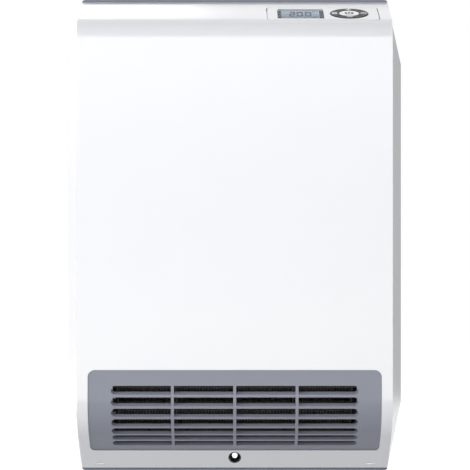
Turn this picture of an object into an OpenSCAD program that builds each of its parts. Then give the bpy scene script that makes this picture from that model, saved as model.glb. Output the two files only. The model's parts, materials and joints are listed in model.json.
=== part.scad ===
// Wall-mounted fan convector heater with a cross-flow fan, about 2 kW.
// Millimetres. The origin is the centre of the wall bracket's four screw holes, on the wall.
// +X is to the viewer's right, +Y goes into the wall and +Z is up, so the front faces -Y.

/* [Casing] */
// Overall height
body_h = 470; // [450:1:520]
// Overall width, across the flared sides
body_w = 332; // [326:1:350]
// Overall depth, from the wall to the front
body_d = 135; // [132:1:150]
// Wall thickness of the mouldings
wall = 2.5; // [2:0.1:3]
// Width of the casing's outline at its top and bottom edges
crown_w = 304; // [290:1:310]
// Height of the sloping shoulders at the top corners
shoulder_drop = 65; // [50:1:80]
// Height of the sloping heels at the bottom corners
heel_drop = 69; // [60:1:80]

/* [Front cover] */
// Width of the flat front sheet
front_w = 304; // [298:1:310]
// Depth of the front cover, from its front to its rim
cover_d = 78; // [72:1:82]
// Slope of the top, up towards the wall, in degrees
top_slope = 20; // [16:1:24]
// Outer radius of the bend between top and front
top_bend_r = 22; // [16:1:22]
// Slope of the chin, away from upright, in degrees
chin_angle = 55; // [50:1:58]
// Outer radius of the bend between front and chin
chin_bend_r = 47; // [40:1:52]
// Height of the chin bend's start above the bottom
chin_h = 77.5; // [74:0.5:82]
// How far the rear casing stands above the cover
top_trim = 2.5; // [1:0.5:4]
// How far the rear casing stands below the cover
bottom_trim = 3.5; // [2:0.5:4]
// How far below the top the shoulder's crease meets the front sheet
shoulder_front_drop = 54; // [48:1:60]
// How far above the bottom the heel's crease meets the front sheet
heel_front_rise = 60; // [55:1:66]

/* [Outlet grille] */
// Width of the grille
grille_w = 283; // [270:1:286]
// Radius of the grille's upper corners
grille_corner_r = 7; // [3:0.5:10]
// Thickness of the grille's border
grille_t = 3.4; // [3.2:0.1:3.8]
// Thickness of the grille where the slots are
louvre_t = 5; // [4:0.1:6]
// How deep the grille lies under the cover's surface
grille_recess = 0.8; // [0.4:0.1:1.2]
// Rows of slots
slot_rows = 7; // [5:1:7]
// Height of a slot, along the surface
slot_h = 8.5; // [6:0.1:8.6]
// Distance between rows, along the surface
slot_pitch = 11.2; // [10.8:0.1:11.4]
// Width across all the slots
slots_w = 238; // [220:1:244]
// Width of the three upright ribs
rib_w = 2.9; // [2:0.1:5]
// Distance between the middles of the outer ribs
rib_span = 120; // [110:1:124]
// Plain border above the first slot
grille_top_border = 15.3; // [12:0.1:18]
// Plain border below the last slot
grille_bottom_border = 8.7; // [6:0.1:11]
// How much the slots climb into the heater, in degrees
louvre_angle = 28; // [25:1:40]

/* [Control panel] */
// Width of the panel
panel_w = 108; // [104:1:114]
// Length of the panel, up the slope
panel_l = 47.5; // [46:0.5:50]
// Middle of the panel, to the right of the centre line
panel_x = 86; // [78:1:88]
// Middle of the panel behind the front, measured level
panel_back = 33.5; // [33.5:0.5:38]
// Radius of the panel's corners
panel_corner_r = 4; // [2:0.5:6]
// Gap between panel and cover
panel_gap = 1; // [0.4:0.1:1.2]
// Width of the display's lens
lens_w = 45; // [40:0.2:48]
// Length of the display's lens, up the slope
lens_l = 37.5; // [34:0.5:38]
// Middle of the display, left of the panel's middle
lens_left = 21.7; // [19:0.1:23]
// Middle of the key ring, right of the panel's middle
ring_right = 25.8; // [24:0.1:27]
// Outer radius of the key ring
ring_r = 18.6; // [17:0.1:19.5]
// Radius of the middle key
middle_key_r = 9.8; // [8:0.1:10.5]
// How far a key travels
key_travel = 0.8; // [0.4:0.1:0.9]

/* [Fan] */
// Radius of the fan wheel
fan_r = 30; // [26:0.5:31]
// Number of fan blades
blade_count = 28; // [20:1:32]
// Distance of the fan's axis from the wall
fan_from_wall = 55; // [53:0.5:57]
// Height of the fan's axis above the bottom
fan_rise = 117; // [115:1:122]
// Room beside the air duct for the motor, out to the casing's side
motor_room = 48; // [48:1:54]
// Radius of the motor's shaft
shaft_r = 2; // [1.5:0.1:2.5]

/* [Wall bracket] */
// Screw holes, centre to centre across
screw_span_x = 200; // [160:1:210]
// Screw holes, centre to centre up and down
screw_span_z = 250; // [200:1:260]
// Radius of the screw holes
screw_hole_r = 2.75; // [2:0.05:3.5]
// Sheet thickness of the bracket
sheet_t = 2; // [1.5:0.1:2.5]

/* [Lock and cable] */
// Radius of the hole that the locking screw is reached through
lock_hole_r = 5.3; // [4.5:0.1:5.6]
// Height of the locking screw above the bottom
lock_rise = 15.3; // [14.8:0.1:16]
// Radius of the supply cable's hole
cable_r = 4.2; // [3:0.1:5]

/* [Hidden] */
$fn = 48;

// Clearances
fit = 0.1;           // between fixed parts that fit into each other
run = 0.05;          // radial, round a turning shaft
key_gap = 0.35;      // round the keys
cut = 1;             // how far a cutter runs past what it cuts
far = 600;           // larger than the heater
blend = 0.002;       // how much larger an arc is drawn, so that it crosses its edges cleanly

// Planes of the casing
top_z = body_h / 2;
front_y = -body_d;
rim_y = front_y + cover_d;
under_z = -top_z + bottom_trim;
crown_z = top_z - top_trim;
shoulder_z = top_z - shoulder_drop;
heel_z = -top_z + heel_drop;
chin_z = -top_z + chin_h;
chin_corner_z = chin_z - chin_bend_r * tan(chin_angle / 2);
chin_arc = chin_bend_r * chin_angle * PI / 180;
bracket_gap = 3;     // between bracket and rear casing
back_y = -sheet_t - bracket_gap;
inner_back_y = back_y - wall;
rim_flange_t = 3;
rear_step = 4;       // how much slimmer the rear casing is behind its flange

// Side profile of the cover, as [y, z], anticlockwise from the rim's top corner
cover_profile = [
    [rim_y, crown_z],
    [front_y, crown_z - cover_d * tan(top_slope)],
    [front_y, chin_corner_z],
    [front_y + (chin_corner_z - under_z) * tan(chin_angle), under_z],
    [rim_y, under_z]
];
cover_radii = [0, top_bend_r, chin_bend_r, 1, 0];
rim_edge = 4;        // the profile's edge that is open, at the rim

// Outline of the rear casing, as [x, z], anticlockwise from the top right
casing_outline = [
    [crown_w / 2, top_z], [-crown_w / 2, top_z], [-body_w / 2, shoulder_z],
    [-body_w / 2, heel_z], [-crown_w / 2, -top_z], [crown_w / 2, -top_z],
    [body_w / 2, heel_z], [body_w / 2, shoulder_z]
];
outline_corner_r = 3.5;
outline_radii = [1, 1, 0, 0, 1, 1, 0, 0] * outline_corner_r;

// Grille, measured along the front surface from where the chin bend starts
first_slot_s = -8.1;
grille_top_s = first_slot_s - slot_h / 2 - grille_top_border;
grille_bottom_s = first_slot_s + (slot_rows - 1) * slot_pitch + slot_h / 2 + grille_bottom_border;
grille_lip = 3;      // how far the grille reaches under the cover's edge
louvre_margin = 4;   // of the thick part, round the slots

// Control panel: its frame lies on the top's surface
panel_y = front_y + panel_back;
panel_z = crown_z - (cover_d - panel_back) * tan(top_slope);
panel_lip = 3;
board_depth = 10.5;  // from the panel's surface down to the board
board_t = 1.6;
board_inset = 2;     // of the board's edge inside the panel's
post_r = 2.6;
post_inset = 4.5;    // of the corner screws, from the board's edge
lens_t = 1.5;
frame_t = 2.8;
frame_side = 3.6;    // width of the frame's dark side bars, with the lens's edge
frame_end = 1.4;     // width of its bars at the top and bottom
key_proud = 0.6;
key_cap_t = 2.5;
carrier_top = key_cap_t - key_proud + key_travel + 0.4;
carrier_t = 2;
carrier_flange_t = 0.7;
panel_t = wall + 1.6;
collar_t = 0.8;
stem_r = 1.6;
collar_r = 2.4;
collar_gap = 0.15;
sector_stem_r = (ring_r + middle_key_r) / 2;
switch_side = 6;
switch_h = 3;
plunger_r = 1.7;

// Fan and duct, as [y, z] in the side view
duct_w = body_w - 2 * motor_room;
fan_y = -fan_from_wall;
fan_z = -top_z + fan_rise;
scroll_start = 75;   // degrees, measured up from the wall's side
scroll_end = -45;
scroll_gap = 3.5;    // between fan and scroll where the scroll starts
scroll_growth = 4.5; // how much further out it is where it ends
tongue_angle = 197;
tongue_gap = 3.5;
tongue_sweep = 27;
tongue_edge = 3;     // degrees that the tongue's upper face starts before its lip
duct_t = 1.2;
end_t = 1.5;
duct_clear = 0.6;    // between duct and grille
fan_end_gap = 3;     // between fan wheel and end plates
disc_t = 2.5;
ring_t = 1.5;
blade_t = 1;
blade_inner_r = fan_r * 0.76;
hub_r = 7;
bush_r = 5;
rubber_r = 8;

// Motor, from the right end plate outwards
motor_x = duct_w / 2 + end_t;
motor_post_h = 4;
bracket_t = 3;
core_gap = 2;        // between each bracket and the core
core_t = 20;
core_w = 52;
rotor_r = 13.8;
rotor_gap = 0.5;
core_below = 24;     // from the axis down to the core's end
core_above = 58;
yoke_h = 12;
window_h = 23;
window_w = 30;
motor_screw_span = 42;
core_x = motor_x + motor_post_h + bracket_t + core_gap;
outer_bracket_x = core_x + core_t + core_gap;

// Heating element: a bank across the duct
bank_tilt = 40;
bank_from_fan = 62;
bank_drop = 9;
bank_h = 60;
bank_t = 16;
mica_t = 1;
comb_count = 5;
coil_count = 5;
coil_r = 3.5;

// Screws
small_screw_r = 1.3;
small_head_r = 2.4;
small_head_h = 1.5;
boss_r = 5.2;
boss_x = body_w / 2 - 18;
upper_boss_z = shoulder_z - 20;
lower_boss_z = -top_z + 50;
cover_screw_r = 1.7;
cover_head_r = 3.2;
cover_head_h = 2.5;
cover_boss_l = 24;
screw_seat_y = rim_y + 12;

// Lock
lock_z = -top_z + lock_rise;
lock_bush_t = 0.9;
lock_floor_t = 2;
lock_floor_y = rim_y;
spindle_r = 2.75;
spindle_proud = 3;
cam_y = inner_back_y - 7.5;
cam_t = 3;
cam_w = 7;
cam_gap = 0.4;
tongue_z = lock_z + 13.7;
cam_r = tongue_z - lock_z - cam_gap;

// Bracket
bar_h = 40;
bar_w = screw_span_x + 36;
strip_w = 60;
hook_x = 80;
hook_w = 30;
hook_up = 12;
hook_z = screw_span_z / 2 + bar_h / 2;
tongue_w = 24;

// Cable entry
cable_x = 96;
cable_y = inner_back_y - 22;
gland_flange = 3;
floor_z = -top_z + rear_step + wall;

// ---------------------------------------------------------------- helpers

function unit(v) = v / norm(v);

// Where a corner goes when its two edges move inwards by d1 and d2
function moved_corner(before, corner, after, d1, d2) =
    let (a = unit(corner - before), b = unit(after - corner),
         n1 = [-a.y, a.x], n2 = [-b.y, b.x],
         k = n1.x * n2.y - n1.y * n2.x)
    corner + [d1 * n2.y - d2 * n1.y, d2 * n1.x - d1 * n2.x] / k;

// An anticlockwise outline with each edge i moved inwards by depths[i]
function shrunk(points, depths) =
    let (n = len(points))
    [for (i = [0 : n - 1])
        moved_corner(points[(i + n - 1) % n], points[i], points[(i + 1) % n],
                     depths[(i + n - 1) % n], depths[i])];

function same(n, value) = [for (i = [1 : n]) value];

// The outline with true arcs at its corners
module rounded(points, radii) {
    n = len(points);
    difference() {
        polygon(points);
        for (i = [0 : n - 1]) {
            if (radii[i] > 0) {
                corner = points[i];
                a = unit(points[(i + n - 1) % n] - corner);
                b = unit(points[(i + 1) % n] - corner);
                half = acos(a * b) / 2;
                tangent = radii[i] / tan(half);
                middle = unit(a + b);
                centre = corner + middle * radii[i] / sin(half);
                difference() {
                    polygon([corner + a * tangent, corner - middle * radii[i],
                             corner + b * tangent, centre]);
                    translate(centre) circle(radii[i] + blend);
                }
            }
        }
    }
}

function box_outline(w, h) = [[w, h] / 2, [-w, h] / 2, [-w, -h] / 2, [w, -h] / 2];

module rounded_box(w, h, r) {
    rounded(box_outline(w, h), same(4, r));
}

// A [y, z] shape drawn out along X, about the middle
module along_x(w) {
    rotate([90, 0, 90]) linear_extrude(height = w, center = true) children();
}

// The same, from x0 to x1
module from_x(x0, x1) {
    translate([(x0 + x1) / 2, 0, 0]) along_x(x1 - x0) children();
}

// An [x, z] shape drawn out along Y, from y0 to y1
module along_y(y0, y1) {
    translate([0, y1, 0]) rotate([90, 0, 0]) linear_extrude(height = y1 - y0) children();
}

// Round bars along X, Y and Z
module bar_x(r, x0, x1) {
    translate([x0, 0, 0]) rotate([0, 90, 0]) cylinder(r = r, h = x1 - x0);
}

module bar_y(r, y0, y1) {
    translate([0, y0, 0]) rotate([-90, 0, 0]) cylinder(r = r, h = y1 - y0);
}

module block(low, high) {
    translate(low) cube(high - low);
}

// Everything on the outer side of the plane through p with normal n
module beyond(p, n) {
    translate(p) rotate([0, acos(n.z), atan2(n.y, n.x)])
        translate([-far, -far, 0]) cube([2 * far, 2 * far, 2 * far]);
}

module both_sides() {
    children();
    mirror([1, 0, 0]) children();
}

// ---------------------------------------------------------------- the casing's form

// Side view of the space inside the cover's surface, d under it and open at the rim
module cover_side(d) {
    rim_d = d > 0 ? -cut : 0;
    rounded(shrunk(cover_profile, [d, d, d, d, rim_d]),
            [for (r = cover_radii) max(r - d, 0)]);
}

// The three planes that shape the cover's right side, as [point, normal]
flare_plane = [[front_w / 2, front_y, 0], unit([cover_d, (front_w - body_w) / 2, 0])];
shoulder_plane = [
    [body_w / 2, rim_y, shoulder_z],
    unit(cross([crown_w / 2 - body_w / 2, 0, shoulder_drop],
               [front_w / 2 - body_w / 2, -cover_d, shoulder_drop - shoulder_front_drop]))
];
heel_plane = [
    [body_w / 2, rim_y, heel_z],
    unit(cross([front_w / 2 - body_w / 2, -cover_d, heel_front_rise - heel_drop],
               [crown_w / 2 - body_w / 2, 0, -heel_drop]))
];

// The cover's solid form, d under its surface
module cover_form(d) {
    difference() {
        along_x(body_w + 2 * cut) cover_side(d);
        both_sides() {
            for (plane = [flare_plane, shoulder_plane, heel_plane]) {
                beyond(plane[0] - plane[1] * d, plane[1]);
            }
        }
    }
}

// A point of the front surface, s below the chin bend's start and d under the surface
function chin_point(s, d) =
    let (turn = min(max(s, 0) / chin_bend_r * 180 / PI, chin_angle),
         r = chin_bend_r - d,
         on_arc = [front_y + chin_bend_r - r * cos(turn), chin_z - r * sin(turn)],
         past = max(s - chin_arc, 0))
    on_arc + [past * sin(chin_angle), -past * cos(chin_angle) - min(s, 0)];

function chin_turn(s) = min(max(s, 0) / chin_bend_r * 180 / PI, chin_angle);

// The grille's outline in the front view, grown by d
module grille_outline(d) {
    z1 = chin_point(grille_top_s, 0).y + d;
    z0 = chin_point(grille_bottom_s, 0).y - d;
    w = grille_w / 2 + d;
    upper_r = grille_corner_r + max(d, 0);
    lower_r = upper_r * cos(chin_angle);
    rounded([[w, z1], [-w, z1], [-w, z0], [w, z0]], [upper_r, upper_r, lower_r, lower_r]);
}

// A skin from d0 to d1 under the cover's surface
module skin(w, d0, d1) {
    along_x(w) difference() {
        cover_side(d0);
        cover_side(d1);
    }
}

// Puts children on the top's surface at the panel's middle, Z outwards and Y up the slope
module on_panel() {
    translate([panel_x, panel_y, panel_z]) rotate([top_slope, 0, 0]) children();
}

module panel_prism(d, low, high) {
    on_panel() translate([0, 0, low]) linear_extrude(height = high - low)
        rounded_box(panel_w + 2 * d, panel_l + 2 * d, panel_corner_r + d);
}

module at_ring() {
    on_panel() translate([ring_right, 0, 0]) children();
}

module at_lens() {
    on_panel() translate([-lens_left, 0, 0]) children();
}

// ---------------------------------------------------------------- casing parts

module wall_bracket() {
    color("silver") difference() {
        union() {
            for (z = [-1, 1] * screw_span_z / 2) {
                block([-bar_w / 2, -sheet_t, z - bar_h / 2], [bar_w / 2, 0, z + bar_h / 2]);
            }
            block([-strip_w / 2, -sheet_t, tongue_z], [strip_w / 2, 0, screw_span_z / 2]);
            for (x = [-hook_x, hook_x]) {
                hook_y = inner_back_y - 0.3 - sheet_t;
                block([x - hook_w / 2, hook_y, hook_z - sheet_t], [x + hook_w / 2, -sheet_t, hook_z]);
                block([x - hook_w / 2, hook_y, hook_z - sheet_t],
                      [x + hook_w / 2, hook_y + sheet_t, hook_z + hook_up]);
            }
            block([-tongue_w / 2, cam_y - 1, tongue_z], [tongue_w / 2, 0, tongue_z + sheet_t]);
        }
        for (x = [-1, 1] * screw_span_x / 2, z = [-1, 1] * screw_span_z / 2) {
            translate([x, 0, z]) bar_y(screw_hole_r, -sheet_t - cut, cut);
        }
    }
}

pad_x = crown_w / 2 - 22;
pad_z = -top_z + 20;
pad_r = 8;

module wall_pads() {
    color("dimgray") both_sides() translate([pad_x, 0, pad_z]) bar_y(pad_r, back_y, 0);
}

// The casing's outline, d inside it
module outline(d) {
    rounded(shrunk(casing_outline, same(8, d)), [for (r = outline_radii) max(r - d / 2, 0)]);
}

vent_pitch = 10;
vent_h = 5;
vent_y0 = back_y - 38;
vent_y1 = back_y - 8;

module rear_vents() {
    side_low = fan_z + fan_r + 45;
    side_high = upper_boss_z - 12;
    for (z = [side_low : vent_pitch : side_high]) {
        block([-body_w, vent_y0, z], [body_w, vent_y1, z + vent_h]);
    }
    top_half = crown_w / 2 - 32;
    for (x = [-top_half : vent_pitch : top_half]) {
        block([x - vent_h / 2, vent_y0, top_z - 3 * wall - rear_step],
              [x + vent_h / 2, vent_y1, top_z + cut]);
    }
}

module at_bosses() {
    both_sides() for (z = [upper_boss_z, lower_boss_z]) {
        translate([boss_x, 0, z]) children();
    }
}

board_w = 130;
board_h = 84;
board_z = 62;
board_y = inner_back_y - 9;
board_post_r = 3.2;
board_front_y = board_y - board_t;

// Parts on the power board, as [across, out of the board, up]
relay_size = [19, 15.5, 15.5];
relay_places = [-40, -16];
relay_z = -18;
transformer_size = [28, 22, 24];
transformer_x = 30;
transformer_z = 12;
film_cap_size = [26, 14, 12];
film_cap_x = -34;
film_cap_z = 14;
round_cap_r = 5;
round_cap_l = 18;
round_cap_x = 8;
round_cap_z = -20;
plug_size = [22, 10, 9];
plug_x = 36;
plug_z = -24;

module at_board_corners() {
    for (x = [-1, 1] * (board_w / 2 - 6), z = [-1, 1] * (board_h / 2 - 6)) {
        translate([x, 0, board_z + z]) children();
    }
}

terminal_x = cable_x;
terminal_z = floor_z + 42;

module rear_casing() {
    color([0.36, 0.38, 0.42]) difference() {
        union() {
            difference() {
                union() {
                    along_y(rim_y, rim_y + rim_flange_t) outline(0);
                    along_y(rim_y, back_y) outline(rear_step);
                }
                along_y(rim_y - cut, inner_back_y) outline(rear_step + wall);
            }
            at_bosses() bar_y(boss_r, rim_y, inner_back_y + cut / 2);
            at_board_corners() bar_y(board_post_r, board_y, inner_back_y + cut / 2);
            translate([0, 0, lock_z]) bar_y(5, cam_y + cam_t + 1, inner_back_y + cut / 2);
            // Feet that carry the air duct
            for (x = [-1, 1] * (duct_w / 2 + duct_foot_w / 2)) {
                translate([x, 0, duct_foot_z]) bar_y(4, duct_foot_y + duct_foot_t, inner_back_y + cut / 2);
            }
        }
        rear_vents();
        at_bosses() {
            bar_y(cover_screw_r + fit, rim_y - cut, screw_seat_y + cut);
            bar_y(cover_head_r + fit, screw_seat_y, cut);
        }
        at_board_corners() bar_y(small_screw_r + run, board_y - cut, inner_back_y - 1);
        for (x = [-1, 1] * (duct_w / 2 + duct_foot_w / 2)) {
            translate([x, 0, duct_foot_z]) bar_y(small_screw_r + run, duct_foot_y, inner_back_y - 1);
        }
        for (x = [-hook_x, hook_x]) {
            block([x - hook_w / 2 - 1, inner_back_y - cut, hook_z - 14],
                  [x + hook_w / 2 + 1, cut, hook_z + fit]);
        }
        block([-tongue_w / 2 - 2, inner_back_y - cut, tongue_z - 4],
              [tongue_w / 2 + 2, cut, tongue_z + sheet_t + 14]);
        translate([0, 0, lock_z]) bar_y(shaft_r + fit, cam_y, inner_back_y + wall / 2);
        translate([cable_x, cable_y, -top_z - cut])
            cylinder(r = cable_r + wall + fit, h = 4 * wall + rear_step);
    }
}

module cover_boss() {
    intersection() {
        union() {
            at_bosses() bar_y(boss_r, rim_y - cover_boss_l, rim_y);
            both_sides() for (z = [upper_boss_z, lower_boss_z]) {
                block([boss_x, rim_y - cover_boss_l, z - wall / 2], [body_w / 2, rim_y, z + wall / 2]);
            }
        }
        cover_form(wall / 2);
        block([-far, -far, -far], [far, rim_y, far]);
    }
}

dimple_x = 134;
dimple_s = chin_arc + 52;
dimple_w = 10;
dimple_l = 5;
dimple_depth = 0.6;

module cover_dimples() {
    p = chin_point(dimple_s, 0);
    both_sides() translate([dimple_x, p.x, p.y]) rotate([90 + chin_angle, 0, 0])
        translate([0, 0, -dimple_depth]) linear_extrude(height = 2)
            rounded_box(dimple_w, dimple_l, dimple_l / 2 - 0.01);
}

module front_cover() {
    color("white") difference() {
        union() {
            difference() {
                cover_form(0);
                cover_form(wall);
            }
            skin(front_w, 0, wall);
            cover_boss();
        }
        along_y(front_y - cut, chin_point(grille_bottom_s, 0).x + 10) grille_outline(0);
        panel_prism(panel_gap, -4 * wall, 2 * wall);
        translate([0, 0, lock_z]) bar_y(lock_hole_r + lock_bush_t + fit, front_y, rim_y + cut);
        at_bosses() bar_y(cover_screw_r + run, rim_y - cover_boss_l + 3, rim_y + cut);
        cover_dimples();
    }
}

module cover_screws() {
    color("silver") at_bosses() difference() {
        union() {
            bar_y(cover_screw_r, rim_y - cover_boss_l + 5, screw_seat_y);
            bar_y(cover_head_r, screw_seat_y, screw_seat_y + cover_head_h);
        }
        for (turn = [0, 90]) {
            rotate([0, turn, 0]) block([-0.5, screw_seat_y + 1, -2], [0.5, screw_seat_y + 3, 2]);
        }
    }
}

// ---------------------------------------------------------------- outlet grille

// Puts children at a row's middle on the surface, Y along the slot's slope
module at_row(row) {
    p = chin_point(first_slot_s + row * slot_pitch, grille_recess);
    translate([0, p.x, p.y]) rotate([louvre_angle, 0, 0]) children();
}

// Height of a row's slots, square to their slope
function row_h(row) = slot_h * cos(chin_turn(first_slot_s + row * slot_pitch) - louvre_angle);

// The slots, with round outer ends
module slots() {
    middle = rib_span / 2;
    for (row = [0 : slot_rows - 1]) {
        h = row_h(row);
        end_r = 0.49 * h;
        both_sides() at_row(row) along_y(-12, 18) {
            translate([-(slots_w / 2 + middle + rib_w / 2) / 2, 0])
                rounded(box_outline(slots_w / 2 - middle - rib_w / 2, h), [0, end_r, end_r, 0]);
            translate([-middle / 2, 0]) square([middle - rib_w, h], center = true);
        }
    }
}

module outlet_grille() {
    deep = grille_recess + louvre_t;
    lip_d = wall + fit;
    color([0.55, 0.57, 0.62]) difference() {
        union() {
            intersection() {
                skin(grille_w, grille_recess, grille_recess + grille_t);
                along_y(front_y - cut, rim_y) grille_outline(-fit);
            }
            intersection() {
                skin(grille_w + 2 * grille_lip, lip_d, lip_d + 1.4);
                along_y(front_y - cut, rim_y) grille_outline(grille_lip);
            }
            intersection() {
                skin(slots_w + 2 * louvre_margin, grille_recess + 1, deep);
                block([-far, front_y, chin_point(grille_bottom_s - 4, 0).y],
                      [far, rim_y, chin_point(first_slot_s - slot_h / 2 - louvre_margin, 0).y]);
            }
        }
        slots();
        translate([0, 0, lock_z]) bar_y(lock_hole_r + lock_bush_t + 2 * fit, front_y, rim_y);
        // Snap notches along the upper edge
        for (x = [-slots_w / 3, 0, slots_w / 3]) {
            p = chin_point(grille_top_s, grille_recess);
            block([x - 1.4, front_y - cut, p.y - 1.2], [x + 1.4, p.x + 1.2, p.y + 1]);
        }
    }
}

// ---------------------------------------------------------------- control panel

control_w = panel_w - 2 * board_inset;
control_l = panel_l - 2 * board_inset;
lens_lip = 1.5;

module at_panel_corners() {
    on_panel() for (x = [-1, 1] * (control_w / 2 - post_inset), y = [-1, 1] * (control_l / 2 - post_inset)) {
        translate([x, y, 0]) children();
    }
}

module control_panel() {
    deep = wall + fit;
    color([0.93, 0.93, 0.95]) difference() {
        union() {
            intersection() {
                skin(body_w, 0, panel_t);
                panel_prism(0, -6 * wall, 2 * wall);
            }
            intersection() {
                skin(body_w, deep, panel_t - 0.2);
                panel_prism(panel_gap + panel_lip, -6 * wall, 2 * wall);
            }
            at_panel_corners() translate([0, 0, -board_depth]) cylinder(r = post_r, h = board_depth - 1);
        }
        at_lens() {
            translate([0, 0, -lens_t - fit]) linear_extrude(height = 3 * lens_t)
                rounded_box(lens_w + 2 * fit, lens_l + 2 * fit, 1);
            translate([0, 0, -board_depth]) linear_extrude(height = board_depth)
                rounded_box(lens_w - 2 * lens_lip, lens_l - 2 * lens_lip, 1);
        }
        at_ring() translate([0, 0, -2 * wall]) cylinder(r = ring_r + key_gap, h = 4 * wall);
        at_panel_corners() translate([0, 0, -board_depth - cut]) cylinder(r = small_screw_r + run, h = 8);
    }
}

module display_lens() {
    color([0.7, 0.78, 0.86, 0.4]) at_lens() translate([0, 0, -lens_t]) linear_extrude(height = lens_t)
        rounded_box(lens_w, lens_l, 1);
}

frame_w = lens_w - 2 * lens_lip - 2 * fit;
frame_l = lens_l - 2 * lens_lip - 2 * fit;
frame_top = lens_t + fit;
cell_w = frame_w - 2 * (frame_side - lens_lip);
cell_l = frame_l - 2 * frame_end;

module display_frame() {
    color([0.2, 0.2, 0.22]) at_lens() translate([0, 0, -frame_top - frame_t]) linear_extrude(height = frame_t)
        difference() {
            rounded_box(frame_w, frame_l, 0.8);
            square([cell_w, cell_l], center = true);
        }
}

module display_glass() {
    color([0.66, 0.72, 0.78]) at_lens() translate([0, 0, -frame_top - frame_t])
        linear_extrude(height = frame_t) square([cell_w - 2 * fit, cell_l - 2 * fit], center = true);
}

module display_backlight() {
    h = board_depth - frame_top - frame_t - 2 * fit;
    color("whitesmoke") at_lens() translate([0, 0, -board_depth + fit]) linear_extrude(height = h)
        square([frame_w - 4 * fit, frame_l - 4 * fit], center = true);
}

// Stems of the four ring keys, at the ring's compass points
function stem_at(turn) = [sector_stem_r * cos(turn), sector_stem_r * sin(turn), 0];

key_turns = [0, 90, 180, 270];

module key_carrier() {
    color("gray") at_ring() difference() {
        translate([0, 0, -carrier_top - carrier_t]) union() {
            cylinder(r = ring_r + key_gap - fit, h = carrier_t);
            cylinder(r = ring_r + 3, h = carrier_flange_t);
        }
        translate([0, 0, -20]) cylinder(r = stem_r + fit, h = 20);
        for (turn = key_turns) {
            translate(stem_at(turn) - [0, 0, 20]) cylinder(r = stem_r + fit, h = 20);
        }
    }
}

// A key's stem with the collar that keeps it in the carrier
module key_stem() {
    low = carrier_top + carrier_t + collar_gap;
    translate([0, 0, -low - collar_t]) {
        cylinder(r = stem_r, h = low + collar_t - 1);
        cylinder(r = collar_r, h = collar_t);
    }
}

module ring_key(turn) {
    half = (ring_r + 5) * [1, 1];
    color([0.12, 0.12, 0.13]) at_ring() {
        intersection() {
            translate([0, 0, key_proud - key_cap_t]) difference() {
                cylinder(r = ring_r, h = key_cap_t);
                translate([0, 0, -cut]) cylinder(r = middle_key_r + key_gap, h = key_cap_t + 2 * cut);
            }
            rotate([0, 0, turn - 45]) translate([key_gap / 2, key_gap / 2, -10]) cube([half.x, half.y, 20]);
        }
        translate(stem_at(turn)) key_stem();
    }
}

module key_plus() { ring_key(90); }
module key_minus() { ring_key(270); }
module key_menu() { ring_key(180); }
module key_timer() { ring_key(0); }

module key_power() {
    color("white") at_ring() {
        translate([0, 0, key_proud - key_cap_t]) cylinder(r = middle_key_r, h = key_cap_t);
        key_stem();
    }
}

module control_board() {
    color("darkgreen") difference() {
        on_panel() translate([0, 0, -board_depth - board_t]) linear_extrude(height = board_t)
            rounded_box(control_w, control_l, 2);
        at_panel_corners() translate([0, 0, -20]) cylinder(r = small_screw_r + fit, h = 20);
    }
}

module key_switches() {
    stem_end = carrier_top + carrier_t + collar_gap + collar_t;
    places = concat([[0, 0, 0]], [for (t = key_turns) stem_at(t)]);
    color([0.25, 0.25, 0.27]) at_ring() for (p = places) {
        translate(p + [0, 0, -board_depth]) {
            translate([-1, -1, 0] * switch_side / 2) cube([switch_side, switch_side, switch_h]);
            cylinder(r = plunger_r, h = board_depth - stem_end - key_travel - fit);
        }
    }
}

module control_board_screws() {
    color("silver") at_panel_corners() translate([0, 0, -board_depth - board_t]) {
        cylinder(r = small_screw_r, h = 6);
        translate([0, 0, -small_head_h]) cylinder(r = small_head_r, h = small_head_h);
    }
}

// ---------------------------------------------------------------- air duct

function round_fan(r, turn) = [fan_y + r * cos(turn), fan_z + r * sin(turn)];

scroll_turns = [scroll_start : -10 : scroll_end];
function scroll_r(turn) =
    fan_r + scroll_gap + scroll_growth * (scroll_start - turn) / (scroll_start - scroll_end);

tail_end = chin_point(grille_bottom_s + 2, grille_recess + louvre_t);
tongue_lip = round_fan(fan_r + tongue_gap, tongue_angle);
tongue_end = chin_point(first_slot_s - slot_h / 2 - 1, grille_recess + louvre_t);

// The room that the duct may fill behind the grille
module duct_room() {
    union() {
        cover_side(grille_recess + louvre_t + duct_clear);
        translate([rim_y, floor_z + 2]) square([inner_back_y - 2 - rim_y, 200]);
    }
}

module duct_scroll() {
    inner = [for (t = scroll_turns) round_fan(scroll_r(t), t)];
    outer = [for (t = [scroll_end : 10 : scroll_start]) round_fan(scroll_r(t) + duct_t, t)];
    side = unit(tail_end - inner[len(inner) - 1]);
    across = [side.y, -side.x] * -duct_t;
    color("silver") along_x(duct_w) intersection() {
        polygon(concat(inner, [tail_end, tail_end + across], outer));
        duct_room();
    }
}

module duct_tongue() {
    lip_r = fan_r + tongue_gap;
    inner = [for (t = [tongue_angle - tongue_sweep : 4.5 : tongue_angle]) round_fan(lip_r, t)];
    outer = [for (t = [tongue_angle - tongue_edge : -4.5 : tongue_angle - tongue_sweep])
        round_fan(lip_r + duct_t, t)];
    riser = inner[0] + [0, 13];
    color("silver") along_x(duct_w) intersection() {
        polygon(concat([riser - [duct_t, 0], riser], inner, [tongue_end, tongue_end + [0, duct_t]], outer));
        duct_room();
    }
}

duct_foot_w = 12;
duct_foot_t = 1.5;
duct_foot_z = fan_z + fan_r + 8;
duct_foot_y = fan_y + fan_r + 5;

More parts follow.
